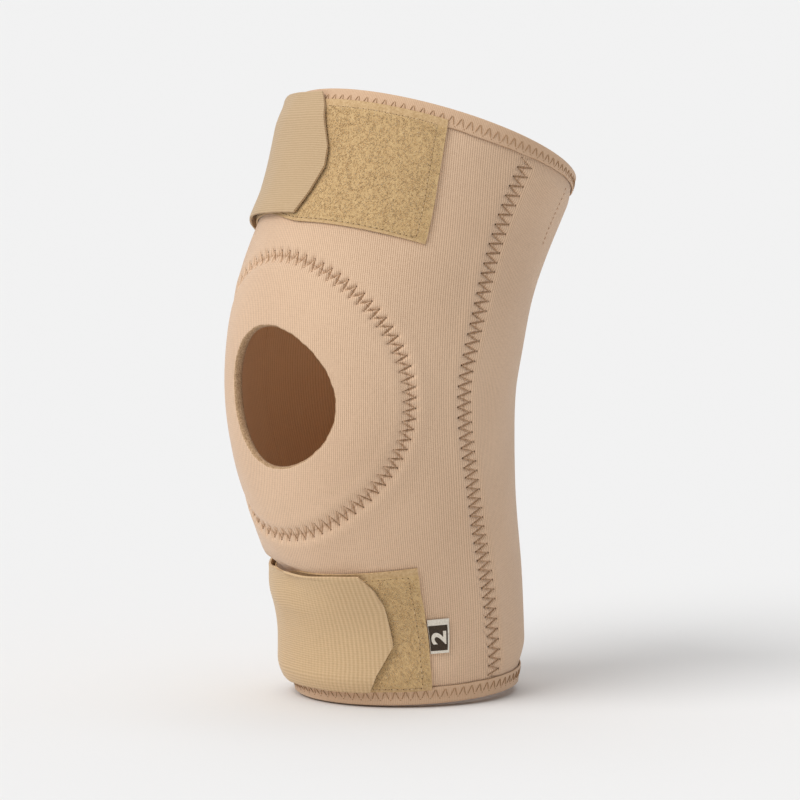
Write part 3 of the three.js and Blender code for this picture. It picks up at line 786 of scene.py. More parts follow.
def patella_ring():
    """Padded ring round the kneecap hole, with its cut rim rolled over slightly."""
    angle = np.linspace(0, 2 * math.pi, RING_COLUMNS, endpoint=False)[:, None]
    outer = ring_radius(angle) - BUTT_GAP / 2
    hole = hole_radius(angle)
    quarter = np.linspace(0, math.pi / 2, 6)
    rim_radius = RIM_ROUND * (1 - np.cos(quarter))
    rim_lift = -RIM_ROUND * (1 - np.sin(quarter))
    inner_face = lerp(hole + RIM_ROUND, outer - 8, np.linspace(0, 1, 20)[None, 1:])
    seam_face = outer - graded(8, 0.22)[None, ::-1]
    radius = np.concatenate([hole + rim_radius, inner_face, seam_face[:, 1:]], axis=1)
    share = np.clip((radius - hole - RIM_ROUND) / (outer - hole - RIM_ROUND), 0, 1)
    lift = RING_PUFF * np.sin(math.pi * share)
    lift[:, : len(rim_lift)] += rim_lift
    under_face = lerp(hole + 6, outer, np.linspace(0, 1, 6)[None, :])
    under_radius = np.concatenate([hole, hole + RIM_ROUND, under_face], axis=1)
    under_lift = np.full(under_radius.shape[1], -float(WALL))
    under_lift[0] = RIM_ROUND - WALL
    wobble = 0.12 * np.sin(17 * angle) + 0.08 * np.sin(41 * angle + 1)
    near_rim = np.exp(-(((radius - hole) / 1.5) ** 2))

    def place(radii):
        return front_place(radii * np.cos(angle), radii * np.sin(angle))

    turn, level = place(radius + wobble * near_rim)
    under_turn, under_level = place(under_radius)
    loops = loops_of(puckered(turn, level, lift), lifted(under_turn, under_level, under_lift[None, :]))
    uv = np.concatenate([cloth_uv(turn, level), cloth_uv(under_turn, under_level)[:, ::-1]], axis=1)
    steps = np.ones(loops.shape[1], int)
    steps[3 : radius.shape[1] - 1] = 0
    steps[:3] = 2
    steps[-2:] = 2
    return skin_mesh("kneecap_ring", loops, close_uv(uv, 0), [LAMINATE, LINING, FOAM], None, steps)


# Stitches

def hidden_shape(mesh):
    """Object of a small shape that is only repeated."""
    mesh.shade_smooth()
    shape = place_piece(mesh.name, mesh)
    shape.hide_render = True
    shape.hide_viewport = True
    return shape


def stitch_shape(thickness=0.15, sink=0.42):
    """One stitch of unit length along X, bowed so that both ends go into the cloth."""
    rings = np.linspace(-0.5, 0.5, 7)
    sides = np.linspace(0, 2 * math.pi, 6, endpoint=False)
    bow = -sink * np.abs(2 * rings) ** 3
    slim = thickness * (1 - 0.35 * (2 * rings) ** 4)
    points = [
        (x, slim[n] * math.cos(side), bow[n] + slim[n] * math.sin(side))
        for n, x in enumerate(rings)
        for side in sides
    ]
    faces = [
        (n * 6 + k, n * 6 + (k + 1) % 6, (n + 1) * 6 + (k + 1) % 6, (n + 1) * 6 + k)
        for n in range(6)
        for k in range(6)
    ]
    faces += [tuple(range(5, -1, -1)), tuple(range(36, 42))]
    mesh = bpy.data.meshes.new("stitch_shape")
    scaled = [(x, y * MM, z * MM) for x, y, z in points]
    mesh.from_pydata(scaled, [], [face[::-1] for face in faces])
    return hidden_shape(mesh)


def geometry_tree(name, inputs):
    """Geometry node tree with a geometry socket each way and named inputs."""
    tree = bpy.data.node_groups.new(name, "GeometryNodeTree")
    tree.interface.new_socket("Geometry", in_out="INPUT", socket_type="NodeSocketGeometry")
    for label, kind in inputs:
        tree.interface.new_socket(label, in_out="INPUT", socket_type=kind)
    tree.interface.new_socket("Geometry", in_out="OUTPUT", socket_type="NodeSocketGeometry")
    start = tree.nodes.new("NodeGroupInput")
    end = tree.nodes.new("NodeGroupOutput")
    return tree, start, end


def shape_node(tree, socket):
    """Node that gives the small shape of an object input."""
    return add_node(tree, "GeometryNodeObjectInfo", {"Object": socket}, transform_space="ORIGINAL")


def finish_tree(tree, start, end, instances):
    """Ends a tree in realized instances with their material."""
    real = add_node(tree, "GeometryNodeRealizeInstances", {0: instances})
    dressed = add_node(
        tree, "GeometryNodeSetMaterial", {"Geometry": real.outputs[0], "Material": start.outputs["Material"]}
    )
    tree.links.new(dressed.outputs[0], end.inputs[0])


def stitch_tree():
    """Sets a stitch on each point, along its thread and standing on its normal."""
    kinds = [("Stitch", "NodeSocketObject"), ("Material", "NodeSocketMaterial")]
    tree, start, end = geometry_tree("stitch_row", kinds)

    def attribute(label, kind):
        return add_node(tree, "GeometryNodeInputNamedAttribute", {"Name": label}, data_type=kind).outputs[0]

    shape = shape_node(tree, start.outputs["Stitch"])
    normal = attribute("normal", "FLOAT_VECTOR")
    upright = add_node(tree, "FunctionNodeAlignRotationToVector", {"Vector": normal}, axis="Z")
    aimed = add_node(
        tree,
        "FunctionNodeAlignRotationToVector",
        {"Rotation": upright.outputs[0], "Vector": attribute("thread", "FLOAT_VECTOR")},
        axis="X",
        pivot_axis="Z",
    )
    size = add_node(tree, "ShaderNodeCombineXYZ", {0: attribute("length", "FLOAT"), 1: 1.0, 2: 1.0})
    placed = add_node(
        tree,
        "GeometryNodeInstanceOnPoints",
        {
            "Points": start.outputs["Geometry"],
            "Instance": shape.outputs["Geometry"],
            "Rotation": aimed.outputs[0],
            "Scale": size.outputs[0],
        },
    )
    finish_tree(tree, start, end, placed.outputs[0])
    return tree


def grow(piece, tree, values):
    """Runs a tree on a piece with its inputs set, and keeps the result as the piece's plain mesh."""
    modifier = piece.modifiers.new("grow", "NODES")
    modifier.node_group = tree
    for item in tree.interface.items_tree:
        if item.in_out == "INPUT" and item.name in values:
            modifier[item.identifier] = values[item.name]
    bpy.context.view_layer.update()
    evaluated = piece.evaluated_get(bpy.context.evaluated_depsgraph_get())
    grown = bpy.data.meshes.new_from_object(evaluated)
    piece.modifiers.remove(modifier)
    piece.data = grown
    grown.name = piece.name
    return piece


STITCH = stitch_shape()
STITCH_TREE = stitch_tree()


def stitch_row(name, starts, ends, normals, finish=None):
    """Row of stitches between pairs of needle holes."""
    middle = (starts + ends) / 2
    thread = ends - starts
    length = np.linalg.norm(thread, axis=1)
    mesh = bpy.data.meshes.new(name)
    mesh.from_pydata((middle * MM).tolist(), [], [])
    for label, kind, values in (
        ("normal", "FLOAT_VECTOR", normals),
        ("thread", "FLOAT_VECTOR", thread / length[:, None]),
        ("length", "FLOAT", length * MM),
    ):
        attribute = mesh.attributes.new(label, kind, "POINT")
        key = "vector" if kind == "FLOAT_VECTOR" else "value"
        attribute.data.foreach_set(key, np.asarray(values, np.float32).ravel())
    piece = place_piece(name, mesh)
    return grow(piece, STITCH_TREE, {"Stitch": STITCH, "Material": finish or THREAD})


def zigzag_holes(zigzag, count):
    """Needle holes of a zigzag seam, as places off it and along it, from one side to the other and back."""
    n = np.arange(2 * count + 1)
    off = np.where(n % 2 == 0, -zigzag.half, zigzag.half)
    along = (n // 2 + np.where(n % 2 == 0, 0, zigzag.lean)) * zigzag.pitch
    return off, along


def sew(name, turn, level, lift):
    """Sews stitches between neighbouring needle holes, given by turn and level, and paints the shade in the
    holes as dark beads.
    """
    places = puckered(turn, level, lift)
    normals = skin_normal((turn[1:] + turn[:-1]) / 2, (level[1:] + level[:-1]) / 2)
    starts, ends = places[:-1], places[1:]
    sunk = normals[1::2] * SUNK_LEG
    return [
        stitch_row(name, starts[::2], ends[::2], normals[::2]),
        # The sunk return legs take a lighter copy of the thread's colour: painted light.
        stitch_row(name + "_back", starts[1::2] - sunk, ends[1::2] - sunk, normals[1::2], LIT_RETURN_THREAD),
        paint_hole_shade(name + "_holes", places, skin_normal(turn, level)),
    ]


def paint_hole_shade(name, places, normals, reach=0.42, lift=0.1):
    """Short dark beads where a thread goes into the cloth: painted shade in the needle holes."""
    along = np.gradient(places, axis=0)
    along = along / np.linalg.norm(along, axis=1, keepdims=True) * reach
    raised = places + normals * lift
    return stitch_row(name, raised - along, raised + along, normals, HOLE_SHADE)


def ring_stitches():
    off, along = zigzag_holes(RING_ZIGZAG, RING_STITCHES)
    angle = along / RING_RADIUS
    radius = ring_radius(angle) + off
    turn, level = front_place(radius * np.cos(angle), radius * np.sin(angle))
    return sew("ring_stitches", turn, level, 0.38)


def side_stitches(side):
    count = int((SEAM_LENGTHS[-1] - 15) / SIDE_ZIGZAG.pitch)
    off, along = zigzag_holes(SIDE_ZIGZAG, count)
    along = along + SIDE_ZIGZAG.pitch * math.ceil(8 / SIDE_ZIGZAG.pitch)
    level = np.interp(along, SEAM_LENGTHS, FRONT_LEVELS)
    turn = seam_turn(level) + (off + 0.4) / radius_at(level)
    name = "right_side_stitches" if side > 0 else "left_side_stitches"
    return sew(name, side * turn, level, 0.38)


def back_stitches():
    """Short row of stitches in the laminate's colour, down from the thigh edge behind the side seam."""
    distance = np.linspace(9, 38, 60)
    turn = np.full(distance.shape, math.radians(115))
    level = level_from_edge(THIGH_EDGE, turn, distance)
    return running_stitches("back_stitches", turn, level, relief(turn, level) + 0.2, BINDING, 1.5, 0.9)


# Edge bindings

BINDING_COLUMNS = 640
TOP_ZIGZAG = SimpleNamespace(near=1.7, far=7.0, pitch=4.3, rise=0.42, fall=0.38)
BOTTOM_ZIGZAG = SimpleNamespace(near=6.9, far=1.9, pitch=4.4, rise=0.42, fall=0.38)


def edge_round(edge):
    """Turns round an edge with the length run at each, from the hidden side of the back."""
    turns = np.linspace(0, 2 * math.pi, 721)
    rim = edge_point(edge, turns, 4.0, 1.0)
    return turns, np.cumsum(np.pad(np.linalg.norm(np.diff(rim, axis=0), axis=1), (1, 0)))


def leg_taper(edge, turn):
    """How much shorter a binding's leg is where it is drawn round the back of the thigh."""
    folded = np.degrees(np.abs((turn + math.pi) % (2 * math.pi) - math.pi))
    return BINDING_TAPER * smoothstep(folded, TAPER_TURN, TAPER_TURN + TAPER_RUN) * (edge == THIGH_EDGE)


def binding(name, edge, leg):
    """Tape folded over an edge, from its outer leg's hem round the fold to its inner leg's hem and back."""
    outside = SEAM_GAP + TAPE
    middle = -WALL / 2
    half = WALL / 2 + outside
    fold = np.linspace(0, math.pi, 13)[1:-1]
    hem = [(leg - 0.25, outside - 0.05), (leg, outside - 0.25)]
    flat = [(distance, outside) for distance in np.linspace(leg - 0.8, 0.6, 9)]
    over = hem[::-1] + flat + [(-(outside) * math.sin(a) ** 0.7, middle + half * math.cos(a)) for a in fold]
    over += [(distance, 2 * middle - lift) for distance, lift in flat[::-3]]
    over += [(leg, 2 * middle - outside)]
    inner_lift = 2 * middle - SEAM_GAP
    under = [(leg, inner_lift), (-SEAM_GAP, inner_lift), (-SEAM_GAP, SEAM_GAP), (leg, SEAM_GAP)]
    profile = np.array(over + under)
    turn = np.linspace(0, 2 * math.pi, BINDING_COLUMNS, endpoint=False)[:, None]
    wave = 0.12 * np.sin(19 * turn) + 0.08 * np.sin(31 * turn + 2)
    outer_face = np.arange(len(profile)) < len(hem) + len(flat)
    on_leg = np.clip(profile[:, 0] / leg, 0, 1)
    distance = profile[None, :, 0] + (wave * outer_face - leg_taper(edge, turn)) * on_leg
    lift = profile[None, :, 1] + 0 * turn
    loops = edge_point(edge, turn + 0 * distance, distance, lift)
    run = np.concatenate([[0], np.cumsum(np.linalg.norm(np.diff(profile, axis=0), axis=1))])
    ends = np.append(run, run[-1] + TAPE)
    round_length = edge_round(edge)[1][-1]
    u = np.linspace(0, round_length, BINDING_COLUMNS + 1)[:, None] + 0 * ends[None, :]
    uv = np.stack([u, ends[None, :] + 0 * u], axis=-1)
    # From the fold's middle on, the inner leg takes the darker copy of the tape: painted shade.
    inner = len(hem) + len(flat) + len(fold) // 2
    steps = (np.arange(len(profile)) >= inner).astype(int)
    return skin_mesh(name, loops, uv, [BINDING, SHADED_TAPE], None, steps)


def binding_stitches(name, edge, zigzag):
    """Pointed stitches of a binding: out to the rim side and back, then a short run beside the hem."""
    turns, lengths = edge_round(edge)
    count = round(lengths[-1] / zigzag.pitch)
    pitch = lengths[-1] / count
    n = np.arange(count)[:, None]
    along = ((n + np.array([0, zigzag.rise, zigzag.rise + zigzag.fall])) * pitch).ravel()
    inward = np.tile([zigzag.far, zigzag.near, zigzag.far], count)
    along = np.append(along, lengths[-1])
    inward = np.append(inward, zigzag.far)
    turn = np.interp(along, lengths, turns)
    inward = inward * (1 - leg_taper(edge, turn) / THIGH_BINDING_LEG)
    holes = edge_point(edge, turn, inward, SEAM_GAP + TAPE + 0.12)
    middle = (turn[1:] + turn[:-1]) / 2
    normals = skin_normal(middle, level_from_edge(edge, middle, (inward[1:] + inward[:-1]) / 2))
    return stitch_row(name, holes[:-1], holes[1:], normals)


# Loop patches

PATCH_COLUMNS = 116
PATCH_ROWS = 76
PATCH_END_BORDER = 4.4
PATCH_DRAW = 4.5
PATCH_DRAW_RUN = 30
PATCH_GROUND = 0.62
PILE_DENSITY = 1.7


def straight_column(table, share):
    stops, values = np.array(table).T
    return np.interp(share, stops, values)


def over_binding(distance, leg):
    """Lift that a layer needs to pass over a binding's leg."""
    passed = np.clip((distance - leg - STEP_CLEAR) / STEP_RUN, 0, 1)
    return (2 * SEAM_GAP + TAPE - LAYER_GAP) * (1 - passed)


def patch_place(patch, across, share):
    """Turn, level and length round of places on a patch, with their distance from the rim."""
    hidden = -math.radians(PATCH_HIDDEN_END)
    width = patch.far - patch.near
    start = hidden * radius_at(level_from_edge(patch.edge, hidden, patch.near + width * share))
    arc = lerp(start, patch.reach * straight_column(patch.end, share), across)
    under_strap = PATCH_DRAW * smoothstep(-arc, 0, PATCH_DRAW_RUN)
    far = patch.far + patch.drop * np.clip(arc / patch.reach, 0, 1) - under_strap
    distance = lerp(patch.near, far, share)
    turn, level = band_place(patch.edge, distance, arc)
    return turn, level, arc, distance


def inside_border(patch, share):
    """Distance inside the lines of stitches along a patch's two long sides."""
    width = patch.far - patch.near
    return np.minimum(share * width - patch.borders[0], (1 - share) * width - patch.borders[1])


def patch_lift(patch, across, share, distance):
    """Lift of a patch's face: a flat woven border, with ground a little higher inside its stitches."""
    within = inside_border(patch, share)
    inside = smoothstep(within, -0.6, 0.5)
    groove = np.exp(-((within / 0.6) ** 2))
    ripple = 0.06 * np.sin(across * 37) * np.sin(share * 11 + 1)
    rise = PATCH_GROUND + (PATCH_THICKNESS - PATCH_GROUND) * inside - 0.22 * groove + ripple
    return LAYER_GAP + rise + over_binding(distance, patch.leg)


def strap_end_arc(strap, distance):
    """Length round at which a strap stops, at distances from the rim."""
    share = np.clip((distance - strap.near) / strap.width, 0, 1)
    return strap.reach - strap.width * straight_column(strap.tip, share)


def loop_patch(name, patch):
    across = np.linspace(0, 1, PATCH_COLUMNS)[:, None]
    edge_rows = graded(4, 0.45) / (patch.far - patch.near)
    middle = np.linspace(edge_rows[-1], 1 - edge_rows[-1], PATCH_ROWS - 2 * len(edge_rows))[1:-1]
    share = np.concatenate([edge_rows, middle, 1 - edge_rows[::-1]])[None, :]
    turn, level, arc, distance = patch_place(patch, across, share)
    over = lifted(turn, level, patch_lift(patch, across, share, distance))
    picked = np.linspace(0, share.shape[1] - 1, 16).round().astype(int)
    floor_lift = LAYER_GAP + over_binding(distance, patch.leg)
    under = lifted(turn[:, picked], level[:, picked], floor_lift[:, picked])
    uv = np.stack([arc, distance], axis=-1)
    uv = np.concatenate([uv, uv[:, picked][:, ::-1]], axis=1)
    steps = np.ones(over.shape[1] + under.shape[1], int)
    steps[: over.shape[1]] = inside_border(patch, share[0]) < -0.1
    finishes = [PILE_GROUND, SELVEDGE]
    return skin_mesh(name, loops_of(over, under), close_uv(uv), finishes, over.shape[1], steps, 40)


def pile_shape():
    """One loop of pile: a thin arch of yarn."""
    arch = np.linspace(0, math.pi, 6)
    sides = np.linspace(0, 2 * math.pi, 3, endpoint=False)
    half_width, height, yarn = 0.32, 0.46, 0.11
    points = []
    for angle in arch:
        way = np.array([math.cos(angle), 0, math.sin(angle)])
        centre = np.array([half_width * math.cos(angle), 0, height * math.sin(angle) - 0.12])
        for side in sides:
            points.append(centre + yarn * (math.cos(side) * way + math.sin(side) * np.array([0, 1, 0])))
    faces = [
        (n * 3 + k, n * 3 + (k + 1) % 3, (n + 1) * 3 + (k + 1) % 3, (n + 1) * 3 + k)
        for n in range(len(arch) - 1)
        for k in range(3)
    ]
    faces += [(2, 1, 0), (15, 16, 17)]
    mesh = bpy.data.meshes.new("pile_shape")
    mesh.from_pydata((np.array(points) * MM).tolist(), [], faces)
    return hidden_shape(mesh)


def pile_tree():
    """Scatters loops of pile over their ground, each turned and sized a little differently."""
    kinds = [
        ("Loop", "NodeSocketObject"),
        ("Density", "NodeSocketFloat"),
        ("Smallest", "NodeSocketFloat"),
        ("Material", "NodeSocketMaterial"),
    ]
    tree, start, end = geometry_tree("loop_pile", kinds)
    grown = add_node(tree, "GeometryNodeInputNamedAttribute", {"Name": "pile"}, data_type="FLOAT").outputs[0]
    density = add_node(tree, "ShaderNodeMath", {0: grown, 1: start.outputs["Density"]}, operation="MULTIPLY")
    scatter = add_node(
        tree,
        "GeometryNodeDistributePointsOnFaces",
        {"Mesh": start.outputs["Geometry"], "Density": density.outputs[0], "Seed": 4},
        distribute_method="RANDOM",
    )
    spin = add_node(
        tree,
        "FunctionNodeRandomValue",
        {"Min": (-0.35, -0.35, 0.0), "Max": (0.35, 0.35, 2 * math.pi), "Seed": 8},
        data_type="FLOAT_VECTOR",
    )
    turned = add_node(
        tree, "FunctionNodeRotateRotation", {"Rotation": scatter.outputs["Rotation"]}, rotation_space="LOCAL"
    )
    euler = add_node(tree, "FunctionNodeEulerToRotation", {0: spin.outputs[0]})
    tree.links.new(euler.outputs[0], turned.inputs["Rotate By"])
    size = add_node(tree, "FunctionNodeRandomValue", {3: 1.15, "Seed": 15}, data_type="FLOAT")
    tree.links.new(start.outputs["Smallest"], size.inputs[2])
    shape = shape_node(tree, start.outputs["Loop"])
    placed = add_node(
        tree,
        "GeometryNodeInstanceOnPoints",
        {
            "Points": scatter.outputs["Points"],
            "Instance": shape.outputs["Geometry"],
            "Rotation": turned.outputs[0],
            "Scale": size.outputs[1],
        },
    )
    finish_tree(tree, start, end, placed.outputs[0])
    return tree


def patch_pile(name, patch, strap, shape, tree):
    """Pile of a patch, where its strap doesn't cover it."""
    across = np.linspace(0, 1, 260)[:, None]
    share = np.linspace(0, 1, 120)[None, :]
    turn, level, arc, distance = patch_place(patch, across, share)
    points = lifted(turn, level, patch_lift(patch, across, share, distance) - 0.02)
    from_end = patch.reach * straight_column(patch.end, share) - arc
    grown = smoothstep(inside_border(patch, share), 0.3, 0.7) * smoothstep(from_end, 0.5, 1.2)
    grown = grown * smoothstep(np.abs(from_end - PATCH_END_BORDER), 0.3, 0.7)
    grown = grown * (arc > strap_end_arc(strap, distance) - 7)
    rows = points.shape[1]
    i, k = np.meshgrid(np.arange(points.shape[0] - 1), np.arange(rows - 1), indexing="ij")
    corner = (i * rows + k).ravel()
    faces = np.stack([corner, corner + 1, corner + rows + 1, corner + rows], axis=1)
    mesh = bpy.data.meshes.new(name)
    mesh.from_pydata((points.reshape(-1, 3) * MM).tolist(), [], faces.tolist())
    middle = mesh.polygons[len(mesh.polygons) // 2]
    if middle.normal.dot(Vector(skin_normal(turn[130, 60], level[130, 60]))) < 0:
        mesh.flip_normals()
    attribute = mesh.attributes.new("pile", "FLOAT", "POINT")
    attribute.data.foreach_set("value", grown.astype(np.float32).ravel())
    piece = place_piece(name, mesh)
    values = {"Loop": shape, "Density": PILE_DENSITY / MM**2, "Smallest": 0.75, "Material": PILE_YARN}
    return grow(piece, tree, values)


def patch_stitches(name, patch):
    """Running stitches round a patch, inside its border and short of its free end, with short dark dashes
    between them as painted shade in the needle holes.
    """
    width = patch.far - patch.near
    low = patch.borders[0] / width
    high = 1 - patch.borders[1] / width
    end_share = 1 - PATCH_END_BORDER / (patch.reach + math.radians(PATCH_HIDDEN_END) * 58)
    corners = [(0.01, low), (end_share, low), (end_share, high), (0.01, high), (0.01, low)]
    across, share = (np.array(values) for values in zip(*corners))
    fine = np.linspace(0, len(corners) - 1, 1200)
    across = np.interp(fine, np.arange(len(corners)), across)
    share = np.interp(fine, np.arange(len(corners)), share)
    turn, level, _, distance = patch_place(patch, across, share)
    lift = patch_lift(patch, across, share, distance)
    return [
        running_stitches(name, turn, level, lift + 0.3, TAN_THREAD, 1.7, 0.9),
        running_stitches(name + "_holes", turn, level, lift + 0.22, HOLE_SHADE, 0.7, 1.9, start=1.8),
    ]


def running_stitches(name, turn, level, lift, finish, stitch, gap, start=0):
    """Straight stitches along a line of places."""
    line = lifted(turn, level, lift)
    lengths = np.cumsum(np.pad(np.linalg.norm(np.diff(line, axis=0), axis=1), (1, 0)))
    starts = np.arange(start, lengths[-1] - stitch, stitch + gap)

    def at(length):
        return np.stack([np.interp(length, lengths, line[:, k]) for k in range(3)], axis=-1)

    middle = starts + stitch / 2
    normals = skin_normal(np.interp(middle, lengths, turn), np.interp(middle, lengths, level))
    return stitch_row(name, at(starts), at(starts + stitch), normals, finish)


# Elastic straps

STRAP_COLUMNS = 130
STRAP_ROWS = 150
STRAP_EDGE = 0.35


def elastic_strap(name, strap):
    """Strap sewn to the panel at its hidden end. It climbs onto its patch and ends in a cut tip."""
    across = np.linspace(0, 1, STRAP_COLUMNS)[:, None]
    share = np.linspace(0, 1, STRAP_ROWS)[None, :]
    distance = strap.near + strap.width * share
    hidden = -math.radians(STRAP_HIDDEN_END)
    radius = radius_at(level_from_edge(strap.edge, hidden, distance))
    tip_arc = strap.reach - strap.width * straight_column(strap.tip, share)
    arc = lerp(hidden * radius, tip_arc, across)
    turn = arc / radius
    on_panel = np.clip((-math.radians(PATCH_HIDDEN_END) - turn) / math.radians(STRAP_RAMP), 0, 1)
    towards_hidden = smoothstep(-turn, math.radians(FLARE_TURN), math.radians(FLARE_TURN + FLARE_RUN))
    curl = smoothstep(share, 1 - FLARE_SHARE, 1) * towards_hidden * (1 - on_panel)
    climb = lerp(STRAP_LIFT, LAYER_GAP + over_binding(distance, strap.leg), on_panel)
    rib = 0.05 * np.cos(2 * math.pi * share * strap.width / 1.05)
    ripple = 0.1 * np.sin(arc / 5.5 + 2 * np.sin(share * 5)) + 0.05 * np.sin(arc / 2.3 + share * 9)
    edge_fall = 0.3 * np.exp(-np.minimum(share, 1 - share) * strap.width / STRAP_EDGE)
    lift = climb + strap.flare * curl + strap.stand * towards_hidden * (1 - share) ** 2 * (1 - on_panel)
    distance = distance - towards_hidden * (strap.rise * (1 - share) + strap.drop * share) * (1 - on_panel)
    turn, level = band_place(strap.edge, np.maximum(distance, 0), arc)
    face = lift + STRAP_THICKNESS + rib + ripple * (1 - curl) - edge_fall
    over = edge_point(strap.edge, turn, distance, face)
    picked = np.linspace(0, STRAP_ROWS - 1, 24).round().astype(int)
    under = edge_point(strap.edge, turn[:, picked], distance[:, picked], lift[:, picked])
    uv = np.stack([arc, strap.near + strap.width * share + 0 * arc], axis=-1)
    uv = np.concatenate([uv, uv[:, picked][:, ::-1]], axis=1)
    finish = ELASTIC if strap.edge == THIGH_EDGE else RELAXED_ELASTIC
    return skin_mesh(name, loops_of(over, under), close_uv(uv), [finish], STRAP_ROWS, None, 40)


def sewn_end(name, strap):
    """Two lines of stitches across a strap's hidden end."""
    share = np.linspace(0.04, 0.96, 200)
    distance = strap.near + strap.width * share
    pieces = []
    for line, inset in enumerate((2.5, 6.5)):
        arc = -math.radians(STRAP_HIDDEN_END) * radius_at(level_from_edge(strap.edge, -1.2, distance)) + inset
        turn, level = band_place(strap.edge, distance, arc)
        lift = LAYER_GAP + over_binding(distance, strap.leg) + STRAP_THICKNESS + 0.3
        pieces.append(running_stitches(f"{name}_{line + 1}", turn, level, lift, TAN_THREAD, 2.1, 0.8))
    return pieces


# Size label

def label_width(share):
    """Width of the tag at a share of its height, against its full width at the top."""
    return 1 - LABEL_TAPER * (1 - share)


def label_start(distance):
    """Length round at which the tag starts, just past the lower patch's free end."""
    share = (distance - LOWER_PATCH.near) / (LOWER_PATCH.far - LOWER_PATCH.near)
    return LOWER_PATCH.reach * straight_column(LOWER_PATCH.end, share) + 2 * SEAM_GAP


def size_label():
    """Tag folded double, with its fold at the free end."""
    share = np.linspace(0, 1, 14)[:, None]
    distance = LABEL_NEAR + LABEL_HEIGHT * share
    bend = (LABEL_THICKNESS - LABEL_PLY) / 2
    middle = LAYER_GAP + LABEL_THICKNESS / 2
    run = np.linspace(0, LABEL_LENGTH - 0.4, 10)
    arch = np.linspace(math.pi / 2, -math.pi / 2, 7)[1:-1]

    def ply(offset):
        outer = [(x, middle + bend + offset) for x in run]
        fold = [
            (LABEL_LENGTH - 0.4 + 0.35 * math.cos(a), middle + (bend + offset) * math.sin(a)) for a in arch
        ]
        return outer + fold + [(x, middle - bend - offset) for x in run[::-1]]

    over = np.array(ply(LABEL_PLY / 2))
    under = np.array(ply(-LABEL_PLY / 2))
    profile = np.concatenate([over, under[::-1]])
    along = profile[None, :, 0] * label_width(share)
    turn, level = band_place(CALF_EDGE, distance, label_start(distance) + along)
    curl = 0.25 * (profile[None, :, 0] / LABEL_LENGTH) ** 2
    loops = lifted(turn, level, profile[None, :, 1] + curl)
    uv = np.stack([profile[None, :, 0] + 0 * distance, distance + 0 * profile[None, :, 0]], axis=-1)
    return skin_mesh("size_tag", loops, close_uv(uv), [LABEL_CLOTH], len(over), None, 40)


def label_print(name, outline_mesh, lift, finish):
    """Lays a flat mesh, drawn in millimetres from the label's lower inner corner, on the label's face."""
    points = np.array([vertex.co[:] for vertex in outline_mesh.vertices])
    distance = LABEL_NEAR + points[:, 1]
    along = points[:, 0] * label_width(points[:, 1] / LABEL_HEIGHT)
    turn, level = band_place(CALF_EDGE, distance, label_start(distance) + along)
    curl = 0.25 * (points[:, 0] / LABEL_LENGTH) ** 2
    laid = lifted(turn, level, LAYER_GAP + LABEL_THICKNESS + lift + points[:, 2] + curl)
    outline_mesh.vertices.foreach_set("co", (laid * MM).ravel())
    outline_mesh.materials.clear()
    outline_mesh.materials.append(finish)
    outline_mesh.update()
    return place_piece(name, outline_mesh)


BOX_LEFT = 0.15
BOX_RIGHT = 8.8
BOX_LOW = 1.2
BOX_HIGH = 12.5
PRINT_THICKNESS = 0.03


def printed_box():
    steps_x = np.linspace(BOX_LEFT, BOX_RIGHT, 9)
    steps_y = np.linspace(BOX_LOW, BOX_HIGH, 12)
    over = np.array([[(x, y, PRINT_THICKNESS) for y in steps_y] for x in steps_x])
    under = over * [1, 1, 0]
    mesh = skin_mesh("box_drawing", loops_of(over, under), np.zeros((9, 25, 2)), [], 12).data
    mesh.vertices.foreach_set("co", (np.concatenate([over, under[:, ::-1]], axis=1)).ravel())
    bpy.data.objects.remove(bpy.data.objects["box_drawing"])
    return label_print("label_box", mesh, 0.02, LABEL_INK)


def printed_numeral():
    """A plain numeral, standing with its foot towards the label's free end."""
    curve = bpy.data.curves.new("numeral_drawing", "FONT")
    curve.body = "2"
    curve.size = 9.5
    curve.align_x = "CENTER"
    curve.extrude = PRINT_THICKNESS / 2
    curve.offset = 0.3
    drawing = bpy.data.objects.new("numeral_drawing", curve)
    bpy.context.scene.collection.objects.link(drawing)
    bpy.context.view_layer.update()
    mesh = bpy.data.meshes.new_from_object(drawing)
    bpy.data.objects.remove(drawing)
    points = np.array([vertex.co[:] for vertex in mesh.vertices])
    low, high = points.min(axis=0), points.max(axis=0)
    centred = points - (low + high) / 2
    middle = np.array([(BOX_LEFT + BOX_RIGHT) / 2, (BOX_LOW + BOX_HIGH) / 2])
    turned = np.stack([middle[0] - centred[:, 1], middle[1] + centred[:, 0] * 1.25, centred[:, 2]], axis=1)
    mesh.vertices.foreach_set("co", turned.ravel())
    mesh.update()
    return label_print("label_numeral", mesh, 0.08, LABEL_CLOTH)


# Assembly

def attach(pieces):
    for piece in pieces:
        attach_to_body(piece, "root")


